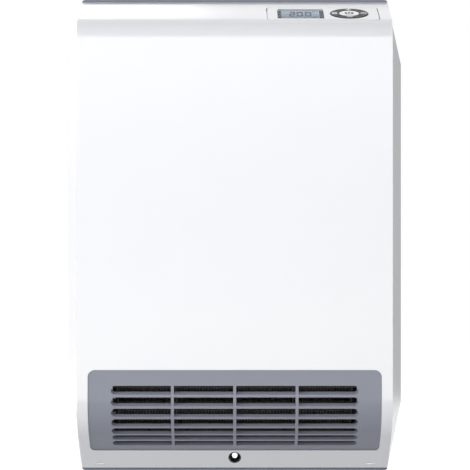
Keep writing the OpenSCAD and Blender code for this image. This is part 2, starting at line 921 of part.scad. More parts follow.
// One end plate, from x0 to x1
module end_plate(x0, x1, bore) {
    back = duct_foot_y + duct_foot_t;
    outline = [
        round_fan(fan_r + 7, 150), round_fan(fan_r + 9, 90), [back, duct_foot_z - 6],
        [back, fan_z - 12], round_fan(fan_r + 12, -35), tail_end + [6, -4], tail_end + [-25, -10],
        tongue_end + [-10, 0], tongue_end + [-6, 5], tongue_lip + [-2, 8]
    ];
    difference() {
        from_x(x0, x1) intersection() {
            polygon(outline);
            duct_room();
        }
        translate([0, fan_y, fan_z]) bar_x(bore, x0 - cut, x1 + cut);
    }
}

// The ear that screws an end plate to the rear casing
module end_ear(x0) {
    difference() {
        block([x0, duct_foot_y, duct_foot_z - 12],
              [x0 + duct_foot_w, duct_foot_y + duct_foot_t, duct_foot_z + 8]);
        translate([x0 + duct_foot_w / 2, 0, duct_foot_z]) bar_y(small_screw_r + fit, duct_foot_y - cut, 0);
    }
}

module duct_end_right() {
    color("silver") difference() {
        union() {
            end_plate(duct_w / 2, duct_w / 2 + end_t, rubber_r);
            end_ear(duct_w / 2);
        }
        for (y = [-1, 1] * motor_screw_span / 2) {
            translate([0, fan_y + y, fan_z]) bar_x(small_screw_r + fit, 0, motor_x + cut);
        }
    }
}

module duct_end_left() {
    color("silver") difference() {
        union() {
            end_plate(-duct_w / 2 - end_t, -duct_w / 2, rubber_r);
            end_ear(-duct_w / 2 - duct_foot_w);
        }
        in_bank() block([-duct_w, -4, -18], [0, -1, 18]);
    }
}

module duct_screws() {
    color("silver") for (x = [-1, 1] * (duct_w / 2 + duct_foot_w / 2)) {
        translate([x, 0, duct_foot_z]) {
            bar_y(small_screw_r, duct_foot_y, duct_foot_y + 10);
            bar_y(small_head_r, duct_foot_y - small_head_h, duct_foot_y);
        }
    }
}

// ---------------------------------------------------------------- fan and motor

fan_x0 = -duct_w / 2 + fan_end_gap;
fan_x1 = duct_w / 2 - fan_end_gap;

module blade() {
    lean = 24;
    outer_r = fan_r - 0.3;
    steps = [0 : 0.5 : 1];
    function at(k) = let (r = blade_inner_r + (outer_r - blade_inner_r) * k) [r, lean * k * k];
    face = [for (k = steps) at(k)];
    back = [for (k = [1 : -0.5 : 0]) at(k) + [0, blade_t / fan_r * 180 / PI]];
    polygon([for (p = concat(face, back)) p.x * [cos(p.y), sin(p.y)]]);
}

module fan_wheel() {
    color([0.2, 0.2, 0.22]) translate([0, fan_y, fan_z]) difference() {
        union() {
            from_x(fan_x0, fan_x1) for (i = [1 : blade_count]) rotate(i * 360 / blade_count) blade();
            bar_x(fan_r, fan_x0, fan_x0 + disc_t);
            bar_x(fan_r, fan_x1 - disc_t, fan_x1);
            for (k = [1 : 3]) {
                x = fan_x0 + (fan_x1 - fan_x0) * k / 4;
                difference() {
                    bar_x(fan_r, x - ring_t / 2, x + ring_t / 2);
                    bar_x(blade_inner_r - 1, x - ring_t, x + ring_t);
                }
            }
            bar_x(hub_r, fan_x0, fan_x0 + 10);
            bar_x(hub_r, fan_x1 - 14, fan_x1);
        }
        bar_x(shaft_r, fan_x0 - cut, fan_x0 + 8);
        bar_x(shaft_r, fan_x1 - 12, fan_x1 + cut);
    }
}

pin_x0 = -duct_w / 2 - end_t - 6;

module fan_pin() {
    color("silver") translate([0, fan_y, fan_z]) bar_x(shaft_r, pin_x0, fan_x0 + 8);
}

module fan_bearing() {
    color("goldenrod") translate([0, fan_y, fan_z]) difference() {
        bar_x(bush_r, -duct_w / 2 - end_t - 4.5, -duct_w / 2 + 1);
        bar_x(shaft_r + run, -duct_w / 2 - 20, -duct_w / 2 + 5);
    }
}

module bearing_rubber() {
    color([0.15, 0.15, 0.15]) translate([0, fan_y, fan_z]) difference() {
        union() {
            bar_x(rubber_r - fit, -duct_w / 2 - end_t - 1.5, -duct_w / 2 + 1);
            bar_x(rubber_r + 2, -duct_w / 2 - end_t - 3, -duct_w / 2 - end_t - fit);
        }
        bar_x(bush_r + fit / 2, -duct_w / 2 - 20, -duct_w / 2 + 5);
    }
}

shaft_end = outer_bracket_x + bracket_t + 3;

module motor_shaft() {
    color("silver") translate([0, fan_y, fan_z]) bar_x(shaft_r, fan_x1 - 12, shaft_end);
}

module motor_rotor() {
    color([0.6, 0.6, 0.62]) translate([0, fan_y, fan_z]) difference() {
        union() {
            bar_x(rotor_r, core_x, core_x + core_t);
            bar_x(rotor_r - 2, core_x - 1, core_x + core_t + 1);
        }
        bar_x(shaft_r, core_x - 5, core_x + core_t + 5);
    }
}

module motor_core() {
    color([0.45, 0.45, 0.47]) difference() {
        from_x(core_x, core_x + core_t) translate([fan_y, fan_z]) difference() {
            translate([-core_w / 2, -core_below]) square([core_w, core_below + core_above]);
            circle(rotor_r + rotor_gap);
            translate([-window_w / 2, core_above - yoke_h - window_h]) square([window_w, window_h]);
        }
        motor_screw_holes(core_x - cut, core_x + core_t + cut);
    }
}

module motor_screw_holes(x0, x1) {
    for (y = [-1, 1] * motor_screw_span / 2) {
        translate([0, fan_y + y, fan_z]) bar_x(small_screw_r + fit, x0, x1);
    }
}

module motor_coil() {
    wrap = 8;
    yoke_z = fan_z + core_above - yoke_h / 2;
    color("sienna") difference() {
        block([core_x - wrap + 0.5, fan_y - window_w / 2 + 1, yoke_z - yoke_h / 2 - wrap],
              [core_x + core_t + wrap - 0.5, fan_y + window_w / 2 - 1, yoke_z + yoke_h / 2 + wrap]);
        block([core_x - fit, fan_y - window_w, yoke_z - yoke_h / 2 - fit],
              [core_x + core_t + fit, fan_y + window_w, yoke_z + yoke_h / 2 + fit]);
    }
}

// A bearing bracket across the motor, with posts towards x_to
module motor_bracket(x0, post0, post1) {
    bar_half = motor_screw_span / 2 + 5;
    color("lightgray") difference() {
        union() {
            from_x(x0, x0 + bracket_t) translate([fan_y, fan_z]) rounded_box(2 * bar_half, 15, 5);
            translate([0, fan_y, fan_z]) bar_x(6, x0 - 1, x0 + bracket_t + 1);
            for (y = [-1, 1] * motor_screw_span / 2) {
                translate([0, fan_y + y, fan_z]) bar_x(3.5, post0, post1);
            }
        }
        translate([0, fan_y, fan_z]) bar_x(shaft_r + run, x0 - 5, x0 + bracket_t + 5);
        motor_screw_holes(0, shaft_end + 10);
    }
}

module motor_bracket_inner() {
    x0 = motor_x + motor_post_h;
    motor_bracket(x0, motor_x, core_x);
}

module motor_bracket_outer() {
    motor_bracket(outer_bracket_x, core_x + core_t, outer_bracket_x + bracket_t);
}

module motor_screws() {
    head_x = outer_bracket_x + bracket_t;
    color("silver") for (y = [-1, 1] * motor_screw_span / 2) {
        translate([0, fan_y + y, fan_z]) {
            bar_x(small_screw_r, motor_x - end_t - 2, head_x);
            bar_x(small_head_r, head_x, head_x + small_head_h);
        }
    }
}

// ---------------------------------------------------------------- heating element

bank_y = fan_y - bank_from_fan * cos(bank_tilt) + bank_drop * sin(bank_tilt);
bank_z = fan_z - bank_from_fan * sin(bank_tilt) - bank_drop * cos(bank_tilt);
bank_x = duct_w / 2 - 0.3;

// Puts children at the bank's middle, Y against the air flow and Z across it
module in_bank() {
    translate([0, bank_y, bank_z]) rotate([bank_tilt, 0, 0]) children();
}

function coil_z(i) = (i - (coil_count - 1) / 2) * (bank_h - 8) / coil_count;
comb_x = [for (i = [0 : comb_count - 1]) (i / (comb_count - 1) - 0.5) * (2 * bank_x - 8)];

module heater_frame() {
    color([0.75, 0.68, 0.5]) in_bank() difference() {
        union() {
            for (z = [-1, 1] * (bank_h - mica_t) / 2) {
                block([-bank_x, -bank_t / 2, z - mica_t / 2], [bank_x, bank_t / 2, z + mica_t / 2]);
            }
            for (x = comb_x) {
                block([x - mica_t / 2, -bank_t / 2, -bank_h / 2], [x + mica_t / 2, bank_t / 2, bank_h / 2]);
            }
        }
        for (i = [0 : coil_count - 1]) {
            translate([0, 0, coil_z(i)]) bar_x(coil_r + fit, -bank_x - cut, bank_x + cut);
        }
    }
}

module heater_coils() {
    color([0.6, 0.55, 0.5]) in_bank() for (i = [0 : coil_count - 1]) {
        translate([0, 0, coil_z(i)]) difference() {
            bar_x(coil_r, -bank_x + 2, bank_x - 2);
            bar_x(coil_r - 0.8, -bank_x, bank_x);
        }
    }
}

module heater_terminals() {
    color("silver") in_bank() for (z = [-1, 0, 1] * 12) {
        block([-bank_x - end_t - 8, -3, z - 3.15], [-bank_x + 1.5, -2.2, z + 3.15]);
    }
}

// A place on top of the duct's front wall, Z away from it
tongue_top = round_fan(fan_r + tongue_gap + duct_t, tongue_angle - tongue_edge);
tongue_run = tongue_end + [0, duct_t] - tongue_top;
tongue_tilt = atan2(tongue_run.y, tongue_run.x) + 180;

module on_tongue(x) {
    p = tongue_top + tongue_run * 0.55;
    translate([x, p.x, p.y]) rotate([tongue_tilt, 0, 0]) translate([0, 0, 3 * fit]) children();
}

module thermal_cutout() {
    color([0.2, 0.2, 0.22]) on_tongue(-60) {
        cylinder(r = 8, h = 7);
        for (x = [-1, 1] * 5) {
            translate([x - 0.4, -3, 6]) cube([0.8, 6, 9]);
        }
    }
}

module thermal_fuse() {
    color("white") on_tongue(-24) translate([0, 0, 2.2]) bar_x(2.2, -6, 6);
}

// ---------------------------------------------------------------- electrics

module power_board() {
    color("darkgreen") difference() {
        translate([0, 0, board_z]) along_y(board_y - board_t, board_y) rounded_box(board_w, board_h, 2);
        at_board_corners() bar_y(small_screw_r + fit, board_y - 5, board_y + 5);
    }
}

module power_board_screws() {
    color("silver") at_board_corners() {
        bar_y(small_screw_r, board_y - board_t, board_y + 6);
        bar_y(small_head_r, board_y - board_t - small_head_h, board_y - board_t);
    }
}

// A part standing on the power board, its middle at [x, z]
module on_board(x, z, size) {
    block([x - size.x / 2, board_front_y - size.y, board_z + z - size.z / 2],
          [x + size.x / 2, board_front_y, board_z + z + size.z / 2]);
}

module relays() {
    color("royalblue") for (x = relay_places) on_board(x, relay_z, relay_size);
}

module power_parts() {
    color("goldenrod") {
        on_board(transformer_x, transformer_z, transformer_size);
        on_board(film_cap_x, film_cap_z, film_cap_size);
        translate([round_cap_x, 0, board_z + round_cap_z])
            bar_y(round_cap_r, board_front_y - round_cap_l, board_front_y);
        on_board(plug_x, plug_z, plug_size);
    }
}

module terminal_block() {
    color("ivory") difference() {
        block([terminal_x - 18, inner_back_y - 18, terminal_z - 8],
              [terminal_x + 18, inner_back_y, terminal_z + 8]);
        for (x = [-1, 0, 1] * 11) {
            translate([terminal_x + x, inner_back_y - 13, terminal_z - 12]) cylinder(r = 2.2, h = 24);
            translate([terminal_x + x, 0, terminal_z + 3]) bar_y(2, inner_back_y - 19, inner_back_y - 10);
        }
    }
}

module cable_gland() {
    low = floor_z - wall;
    color([0.15, 0.15, 0.15]) translate([cable_x, cable_y, 0]) difference() {
        union() {
            translate([0, 0, low]) cylinder(r = cable_r + wall, h = wall + gland_flange);
            translate([0, 0, floor_z + fit]) cylinder(r = cable_r + wall + 2, h = gland_flange - fit);
        }
        translate([0, 0, -top_z]) cylinder(r = cable_r, h = 40);
    }
}

sensor_x = -body_w / 2 + rear_step + wall;
sensor_z = fan_z + fan_r + 30;

module room_sensor() {
    y = inner_back_y - 20;
    color([0.15, 0.15, 0.15]) {
        block([sensor_x, y - 6, sensor_z - 5], [sensor_x + 4, y + 6, sensor_z + 5]);
        translate([sensor_x + 5.5, y, sensor_z]) {
            cylinder(r = 2.5, h = 9, center = true);
            translate([0, 0, 6]) sphere(r = 2.5);
        }
    }
}

// ---------------------------------------------------------------- lock

module lock_bush() {
    r = lock_hole_r + lock_bush_t;
    color([0.05, 0.05, 0.06]) intersection() {
        translate([0, 0, lock_z]) difference() {
            bar_y(r, front_y, lock_floor_y + lock_floor_t);
            bar_y(lock_hole_r, front_y - cut, lock_floor_y);
            bar_y(spindle_r + fit, front_y, rim_y + 20);
        }
        union() {
            cover_form(0);
            block([-r - 1, rim_y - cut, lock_z - r - 1], [r + 1, rim_y + 20, lock_z + r + 1]);
        }
    }
}

module lock_screw() {
    y0 = lock_floor_y - spindle_proud;
    color("silver") translate([0, 0, lock_z]) {
        difference() {
            bar_y(spindle_r, y0, cam_y + 0.5);
            block([-far, y0 - cut, -0.5], [far, y0 + 1.2, 0.5]);
        }
        intersection() {
            block([-cam_w / 2, cam_y, -cam_w / 2], [cam_w / 2, cam_y + cam_t, cam_r]);
            bar_y(cam_r, cam_y, cam_y + cam_t);
        }
        bar_y(shaft_r, cam_y, inner_back_y + 0.5);
    }
}

// ---------------------------------------------------------------- inner wiring

lead_sides = 8;

// Points of a smooth curve through the given ones
function spline_point(p0, p1, p2, p3, t) =
    0.5 * (2 * p1 + (p2 - p0) * t + (2 * p0 - 5 * p1 + 4 * p2 - p3) * t * t
           + (3 * p1 - p0 - 3 * p2 + p3) * t * t * t);

function smooth(points, steps) =
    let (n = len(points))
    concat(
        [for (i = [0 : n - 2], k = [0 : steps - 1])
            spline_point(points[max(i - 1, 0)], points[i], points[i + 1],
                         points[min(i + 2, n - 1)], k / steps)],
        [points[n - 1]]);

// A round lead of radius r along points; it never runs along the reference direction
module lead(points, r, reference) {
    n = len(points);
    function heading(i) = unit(points[min(i + 1, n - 1)] - points[max(i - 1, 0)]);
    rings = [for (i = [0 : n - 1])
        let (h = heading(i), a = unit(cross(h, reference)), b = cross(h, a))
        [for (k = [0 : lead_sides - 1])
            let (turn = 360 * k / lead_sides) points[i] + r * (a * cos(turn) + b * sin(turn))]];
    body = [for (i = [0 : n - 2], k = [0 : lead_sides - 1])
        let (a = i * lead_sides, b = (k + 1) % lead_sides)
        [a + k, a + lead_sides + k, a + lead_sides + b, a + b]];
    ends = [[for (k = [0 : lead_sides - 1]) k],
            [for (k = [lead_sides - 1 : -1 : 0]) (n - 1) * lead_sides + k]];
    polyhedron(points = [for (ring = rings) each ring], faces = concat(body, ends));
}

lead_r = 1.6;
lead_gap = lead_r / 2; // between a lead's end and what it plugs into

module display_cable() {
    under = board_depth + board_t + 0.7;
    start = [panel_x, panel_y + under * sin(top_slope), panel_z - under * cos(top_slope)];
    end = [plug_x, board_front_y - plug_size.y - lead_gap, board_z + plug_z];
    middle = [(start.x + end.x) / 2 + 9, (start.y + end.y) / 2, (start.z + end.z) / 2];
    route = [start, start + [0, 2, -14], middle, end + [0, -10, 14], end];
    color("lightgray") lead(smooth(route, 4), lead_r, [0, 1, 0]);
}

module motor_lead() {
    start = [core_x + core_t / 2, fan_y, fan_z + core_above + 9];
    end = [transformer_x - 4, board_front_y - transformer_size.y - lead_gap, board_z + transformer_z - 6];
    middle = [start.x * 0.62, end.y - 8, (start.z + end.z) / 2];
    route = [start, start + [-8, 0, 16], middle, end + [8, -14, -10], end];
    color([0.3, 0.3, 0.32]) lead(smooth(route, 4), lead_r, [0, 1, 0]);
}

module heater_lead() {
    start = [-bank_x - end_t - 8.2, bank_y - 9.7, bank_z + 7.5];
    end = [relay_places[0], board_front_y - relay_size.y - lead_gap, board_z + relay_z];
    route = [start, start + [-5, 1, 8], [-bank_x - 14, fan_y - 20, fan_z + 50],
             [-duct_w * 0.38, end.y - 20, board_z - 40], end + [-6, -12, -4], end];
    color("indianred") lead(smooth(route, 4), lead_r, [0, 1, 0]);
}

wall_bracket();
wall_pads();
rear_casing();
front_cover();
outlet_grille();
cover_screws();
control_panel();
display_lens();
display_frame();
display_glass();
display_backlight();
key_carrier();
key_plus();
key_minus();
key_menu();
key_timer();
key_power();
control_board();
key_switches();
control_board_screws();
duct_scroll();
duct_tongue();
duct_end_left();
duct_end_right();
duct_screws();
fan_wheel();
fan_pin();
fan_bearing();
bearing_rubber();
motor_shaft();
motor_rotor();
motor_core();
motor_coil();
motor_bracket_inner();
motor_bracket_outer();
motor_screws();
heater_frame();
heater_coils();
heater_terminals();
thermal_cutout();
thermal_fuse();
power_board();
power_board_screws();
relays();
power_parts();
terminal_block();
cable_gland();
room_sensor();
lock_bush();
lock_screw();
display_cable();
motor_lead();
heater_lead();
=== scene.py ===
# %% [markdown]
# # A wall-mounted fan convector heater
#
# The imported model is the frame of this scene: every node is loaded at its real size, in metres,
# with X to the right, Y into the wall and Z up. The cells below set up a camera and lights, make a
# finish for each material, and then model what a plain solid can't show: soft edges on the
# mouldings, the display's figures, the marks on the keys, the heating wires and the windings.

import bpy
import json
import math
from mathutils import Matrix, Vector


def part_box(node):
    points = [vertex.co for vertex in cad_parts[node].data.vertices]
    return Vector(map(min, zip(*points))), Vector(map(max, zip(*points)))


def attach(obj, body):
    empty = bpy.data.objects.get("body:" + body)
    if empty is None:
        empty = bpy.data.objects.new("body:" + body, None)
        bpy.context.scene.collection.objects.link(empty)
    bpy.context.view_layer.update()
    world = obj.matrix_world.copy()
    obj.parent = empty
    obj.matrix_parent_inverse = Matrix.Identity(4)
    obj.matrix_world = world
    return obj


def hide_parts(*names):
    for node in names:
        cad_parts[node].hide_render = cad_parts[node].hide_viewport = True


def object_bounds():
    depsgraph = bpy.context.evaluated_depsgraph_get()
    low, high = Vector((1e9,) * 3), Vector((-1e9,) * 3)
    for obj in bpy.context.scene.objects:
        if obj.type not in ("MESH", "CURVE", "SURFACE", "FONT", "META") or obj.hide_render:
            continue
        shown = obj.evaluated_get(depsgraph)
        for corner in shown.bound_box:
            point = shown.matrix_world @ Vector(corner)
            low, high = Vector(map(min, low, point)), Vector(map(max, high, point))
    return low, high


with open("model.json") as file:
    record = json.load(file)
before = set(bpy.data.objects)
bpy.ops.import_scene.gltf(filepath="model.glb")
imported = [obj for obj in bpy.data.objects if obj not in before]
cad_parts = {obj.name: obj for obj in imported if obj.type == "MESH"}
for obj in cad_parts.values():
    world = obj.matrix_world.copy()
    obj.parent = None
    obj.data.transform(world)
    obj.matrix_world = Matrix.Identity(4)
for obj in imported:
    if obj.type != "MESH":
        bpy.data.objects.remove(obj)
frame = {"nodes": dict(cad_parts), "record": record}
cad_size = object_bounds()
nodes = frame["nodes"]
print("nodes:", len(nodes), "box:", cad_size)

# %% [markdown]
# ## Camera
#
# A product shot is taken from far away with a long lens, level with the middle of the object, so
# that upright edges stay upright. The camera stands 2 m in front of the cover. The field of view
# is set by the lens, and a very small shift centres the heater.

# %% Camera
front_y = cad_size[0][1]
distance = 2.0
view_width = 0.45186  # metres across the picture, at the front cover

eye = bpy.data.cameras.new("eye")
eye.sensor_width = 36
eye.lens = eye.sensor_width * distance / view_width
eye.shift_x = 0.0006
camera = bpy.data.objects.new("eye", eye)
camera.location = (0, front_y - distance, 0)
camera.rotation_euler = (math.radians(90), 0, 0)
bpy.context.scene.collection.objects.link(camera)
bpy.context.scene.camera = camera
bpy.context.scene.view_settings.view_transform = "Standard"
print("lens:", round(eye.lens, 1), "mm")

# %% [markdown]
# ## Shader maths
#
# A material is a small program made of nodes. Typing it as Python expressions keeps it readable:
# a `Wire` is the output of a node, and adding or multiplying wires adds the Math nodes for it.
# A `Finish` is a material, and its `node` method adds any other node: first the node's own
# settings, and then the values or wires of its sockets. Its `out` says which output is meant.

# %% Wire and Finish
class Wire:
    """The output of a shader node. Python's operators on it add Math nodes."""

    def __init__(self, finish, socket):
        self.finish = finish
        self.socket = socket

    def maths(self, operation, *inputs):
        return self.finish.node("Math", {"operation": operation}, dict(enumerate(inputs)))

    def __add__(self, other):
        return self.maths("ADD", self, other)

    def __sub__(self, other):
        return self.maths("SUBTRACT", self, other)

    def __rsub__(self, other):
        return self.maths("SUBTRACT", other, self)

    def __mul__(self, other):
        return self.maths("MULTIPLY", self, other)

    def __truediv__(self, other):
        return self.maths("DIVIDE", self, other)

    __radd__ = __add__
    __rmul__ = __mul__


class Finish:
    """A material whose nodes are added one at a time."""

    def __init__(self, name):
        self.material = bpy.data.materials.new(name)
        self.material.use_nodes = True
        self.tree = self.material.node_tree
        self.tree.nodes.clear()
        self.output = self.tree.nodes.new("ShaderNodeOutputMaterial")

    def node(self, kind, settings=None, sockets=None, out=0):
        made = self.tree.nodes.new("ShaderNode" + kind)
        for name, value in (settings or {}).items():
            if name == "stops":
                for k, (place, tint) in enumerate(value):
                    stops = made.color_ramp.elements
                    stop = stops[k] if k < len(stops) else stops.new(place)
                    stop.position, stop.color = place, tint
            else:
                setattr(made, name, value)
        for key, value in (sockets or {}).items():
            if isinstance(value, Wire):
                self.tree.links.new(value.socket, made.inputs[key])
            else:
                made.inputs[key].default_value = value
        return Wire(self, made.outputs[out])

    def surface(self, wire):
        self.tree.links.new(wire.socket, self.output.inputs["Surface"])


def display_colour(red, green, blue):
    """A colour given as 0 to 255 on a screen, as the linear values that shaders use."""
    def linear(level):
        level /= 255
        return level / 12.92 if level <= 0.04045 else ((level + 0.055) / 1.055) ** 2.4
    return (linear(red), linear(green), linear(blue), 1.0)


print("white paint is", [round(c, 3) for c in display_colour(240, 241, 244)])

# %% [markdown]
# ## Patterns
#
# Every pattern here is read at the place of a point on its object, in metres, so a grain of
# 0.0005 is half a millimetre wide wherever it is used. Three patterns do nearly all the work:
# noise for grain and cloudiness, cells for crystals and flakes, and bands for layers and wires.

# %% Pattern helpers
def place(finish):
    return finish.node("TexCoord", out="Object")


def axis(finish, letter):
    return finish.node("SeparateXYZ", {}, {0: place(finish)}, out="XYZ".index(letter))


def noise(finish, grain, detail=2.0, stretch=(1, 1, 1)):
    spot = finish.node("Mapping", {}, {"Vector": place(finish), "Scale": stretch})
    return finish.node("TexNoise", {}, {"Vector": spot, "Scale": 1 / grain, "Detail": detail})


def cells(finish, size):
    """One random value for each Voronoi cell."""
    tint = finish.node("TexVoronoi", {}, {"Vector": place(finish), "Scale": 1 / size}, out="Color")
    return finish.node("SeparateXYZ", {}, {0: tint})


def bands(finish, letter, pitch):
    """A wave from 0 to 1 along one axis, one crest every pitch metres."""
    wave = finish.node("Math", {"operation": "SINE"},
                       {0: axis(finish, letter) * (2 * math.pi / pitch)})
    return wave * 0.5 + 0.5


def blend(finish, share, first, second):
    """Mixes two colours, which go in at a Mix node's sockets 6 and 7 and come out at 2."""
    return finish.node("Mix", {"data_type": "RGBA"}, {0: share, 6: first, 7: second}, out=2)


def relief(finish, height, depth, over=None):
    """Raises the surface by depth metres where height goes from 0 to 1, over another relief."""
    sockets = {"Height": height, "Distance": depth, "Strength": 1.0}
    if over:
        sockets["Normal"] = over
    return finish.node("Bump", {}, sockets)


def ramp(finish, letter, start, end):
    """From 0 at start to 1 at end along one axis, and level beyond them."""
    return finish.node("Clamp", {}, {0: (axis(finish, letter) - start) / (end - start)})


def tinted(shade, factor):
    return tuple(min(c * factor, 1.0) for c in shade[:3]) + (1.0,)


finishes = {}


def finished(slot, finish, sockets):
    """Gives the finish its one surface shader, and files it under its slot."""
    finish.surface(finish.node("BsdfPrincipled", {}, sockets))
    finishes[slot] = finish.material


print("patterns ready")

# %% [markdown]
# ## Mouldings and rubber
#
# An injection moulding takes its surface from the steel of the tool: polished for the white
# cover, spark-eroded to a fine grain for the grey parts. One recipe makes them all. Fine noise is
# the grain, it raises the surface by a few hundredths of a millimetre at most and varies the
# gloss, and a slow cloud moves the colour by a few percent, as flow in the tool does.
#
# A wide flat face often leaves its tool a little crowned, which stiffens it. The top slope, with
# the panel in it, gets such a crown as a relief in its two white finishes: 0.8 mm at the middle
# of the slope and nothing along its front and back edges.

# %% The crown of the top slope
slope_front_y, slope_back_y = -0.1205, -0.057
bend_z, over_bend_z = 0.19, 0.205  # the heights between which the crown sets in
crown_rise = 0.0008


def crown(finish):
    """A swelling of the top slope, highest halfway from its front edge to its back edge."""
    back = ramp(finish, "Y", slope_front_y, slope_back_y)
    top_only = ramp(finish, "Z", bend_z, over_bend_z)
    return relief(finish, back * (1 - back) * 4 * top_only, crown_rise)


print("crown:", crown_rise, "over", round(slope_back_y - slope_front_y, 4))

# %% Moulded plastic
cloud_size = 0.05
gloss_spread = 0.12  # from the glossiest to the dullest speck of the grain


def moulded(slot, rgb, gloss, grain=0.0005, depth=0.00002, cloud=0.03, coat=0.0, shine=0.5,
            crowned=False):
    """A plastic: gloss is its mean roughness, and depth how far its grain stands up."""
    finish = Finish(slot)
    shade = display_colour(*rgb)
    speckle = noise(finish, grain, 3)
    cloudy = noise(finish, cloud_size)
    finished(slot, finish, {
        "Base Color": blend(finish, cloudy, tinted(shade, 1 - cloud), tinted(shade, 1 + cloud)),
        "Roughness": speckle * gloss_spread + (gloss - gloss_spread / 2),
        "Coat Weight": coat, "Coat Roughness": 0.16, "Specular IOR Level": shine,
        "Normal": relief(finish, speckle, depth, crown(finish) if crowned else None),
    })


polished = {"depth": 0.000006, "cloud": 0.006, "coat": 0.3}
moulded("white_shell", (240, 241, 244), 0.22, grain=0.0018, crowned=True, **polished)
moulded("panel_white", (238, 239, 242), 0.24, grain=0.0008, crowned=True, **polished)
moulded("key_white", (240, 241, 244), 0.24, grain=0.0006, depth=0.000008, cloud=0.006, coat=0.3)
moulded("light_guide", (232, 236, 240), 0.25, grain=0.001, depth=0.000004, cloud=0.01)
moulded("grille_grey", (144, 148, 159), 0.45, grain=0.0004, depth=0.00003, cloud=0.012, shine=0.35)
moulded("grey_shell", (104, 109, 122), 0.46, depth=0.00004, cloud=0.02)
moulded("carrier_grey", (120, 122, 126), 0.5)
moulded("dark_trim", (42, 45, 53), 0.5, shine=0.0)
moulded("key_black", (36, 37, 41), 0.42, grain=0.0003, depth=0.00001, shine=0.12)
moulded("fan_black", (44, 46, 50), 0.45)
moulded("ivory_plastic", (226, 221, 203), 0.4)
moulded("relay_blue", (62, 92, 146), 0.36, grain=0.0006, depth=0.00001)
moulded("parts_yellow", (206, 166, 70), 0.38, grain=0.0006, depth=0.00001)
moulded("fuse_white", (228, 226, 218), 0.5, grain=0.0004)
moulded("black_rubber", (36, 36, 38), 0.72, grain=0.0007, depth=0.00005, cloud=0.06)
moulded("cable_grey", (150, 152, 156), 0.48, grain=0.0006)
moulded("cable_black", (42, 42, 45), 0.5, grain=0.0006)
moulded("cable_red", (168, 58, 48), 0.46, grain=0.0006)
print("mouldings:", len(finishes))

# %% [markdown]
# ## Sheet metal
#
# Hot-dip galvanised sheet has a skin of zinc crystals, the spangle, each turned its own way, so
# each has its own shade and gloss. Voronoi cells a few millimetres wide give one random value per
# crystal. Turned and drawn parts have fine lines round or along them instead, and a cast part has
# a pitted skin, so those use stretched noise and coarse noise.

# %% Metals
def galvanised(slot, shade, crystal):
    finish = Finish(slot)
    spangle = cells(finish, crystal)
    speckle = noise(finish, 0.0006, 4)
    colour = blend(finish, spangle * 0.7 + speckle * 0.3, tinted(shade, 0.8), tinted(shade, 1.15))
    finished(slot, finish, {
        "Base Color": colour, "Metallic": 1.0, "Roughness": spangle * 0.14 + speckle * 0.1 + 0.28,
        "Normal": relief(finish, speckle, 0.00001),
    })


def machined(slot, shade, gloss, grain=0.0004, stretch=(1, 1, 1)):
    """Fine lines along the axis whose stretch is smallest."""
    finish = Finish(slot)
    lines = noise(finish, grain, 4, stretch)
    colour = blend(finish, noise(finish, 0.006), tinted(shade, 0.9), tinted(shade, 1.08))
    finished(slot, finish, {
        "Base Color": colour, "Metallic": 1.0, "Roughness": lines * 0.2 + (gloss - 0.1),
        "Normal": relief(finish, lines, 0.000008),
    })


def cast(slot, shade, gloss):
    finish = Finish(slot)
    pits = noise(finish, 0.0009, 6)
    colour = blend(finish, noise(finish, 0.008, 4), tinted(shade, 0.82), tinted(shade, 1.08))
    finished(slot, finish, {
        "Base Color": colour, "Metallic": 0.9, "Roughness": pits * 0.25 + (gloss - 0.12),
        "Normal": relief(finish, pits, 0.00006),
    })


galvanised("zinc_plate", (0.62, 0.64, 0.67, 1), crystal=0.004)
# duct_steel is the same zinc as zinc_plate at half its brightness: painted shade for the inside of
# the duct, seen through the grille.
galvanised("duct_steel", (0.3, 0.31, 0.33, 1), crystal=0.006)
machined("screw_steel", (0.72, 0.73, 0.75, 1), gloss=0.22, grain=0.0003)
machined("shaft_steel", (0.6, 0.61, 0.63, 1), gloss=0.2, stretch=(0.02, 1, 1))
machined("bronze", (0.62, 0.42, 0.2, 1), gloss=0.4, grain=0.0003)
cast("cast_alloy", (0.6, 0.61, 0.63, 1), gloss=0.45)
print("metals ready")

# %% [markdown]
# ## Layers, flakes and windings
#
# The motor's core is a stack of thin steel sheets, and the coil is hundreds of turns of lacquered
# copper wire: both are bands along an axis, raised where the sheet or wire is. The heater's frame
# is mica paper, pressed from shiny flakes, so its cells are small and each has its own tone. The
# heating wire has been hot, which leaves a dull oxide with brown and blue patches.

# %% Layers and flakes
def laminated(slot, shade, letter, pitch, metal):
    finish = Finish(slot)
    stack = bands(finish, letter, pitch)
    stain = noise(finish, 0.01, 4)
    colour = blend(finish, stack * 0.5 + stain * 0.5, tinted(shade, 0.6), tinted(shade, 1.1))
    finished(slot, finish, {
        "Base Color": colour, "Metallic": metal, "Roughness": stain * 0.2 + 0.36,
        "Normal": relief(finish, stack, 0.00012),
    })


def mica(slot, shade):
    finish = Finish(slot)
    flake = cells(finish, 0.0016)
    colour = blend(finish, flake, tinted(shade, 0.72), tinted(shade, 1.2))
    finished(slot, finish, {
        "Base Color": colour, "Roughness": flake * 0.35 + 0.25,
        "Normal": relief(finish, flake, 0.00003),
    })


def oxidised(slot):
    finish = Finish(slot)
    patches = noise(finish, 0.02, 4)
    colour = finish.node("ValToRGB", {"stops": [
        (0.3, (0.09, 0.09, 0.1, 1)), (0.5, (0.14, 0.12, 0.11, 1)), (0.7, (0.1, 0.12, 0.16, 1))]},
        {0: patches})
    scale = noise(finish, 0.0005, 4)
    finished(slot, finish, {
        "Base Color": colour, "Metallic": 0.8, "Roughness": scale * 0.2 + 0.45,
        "Normal": relief(finish, scale, 0.00002),
    })


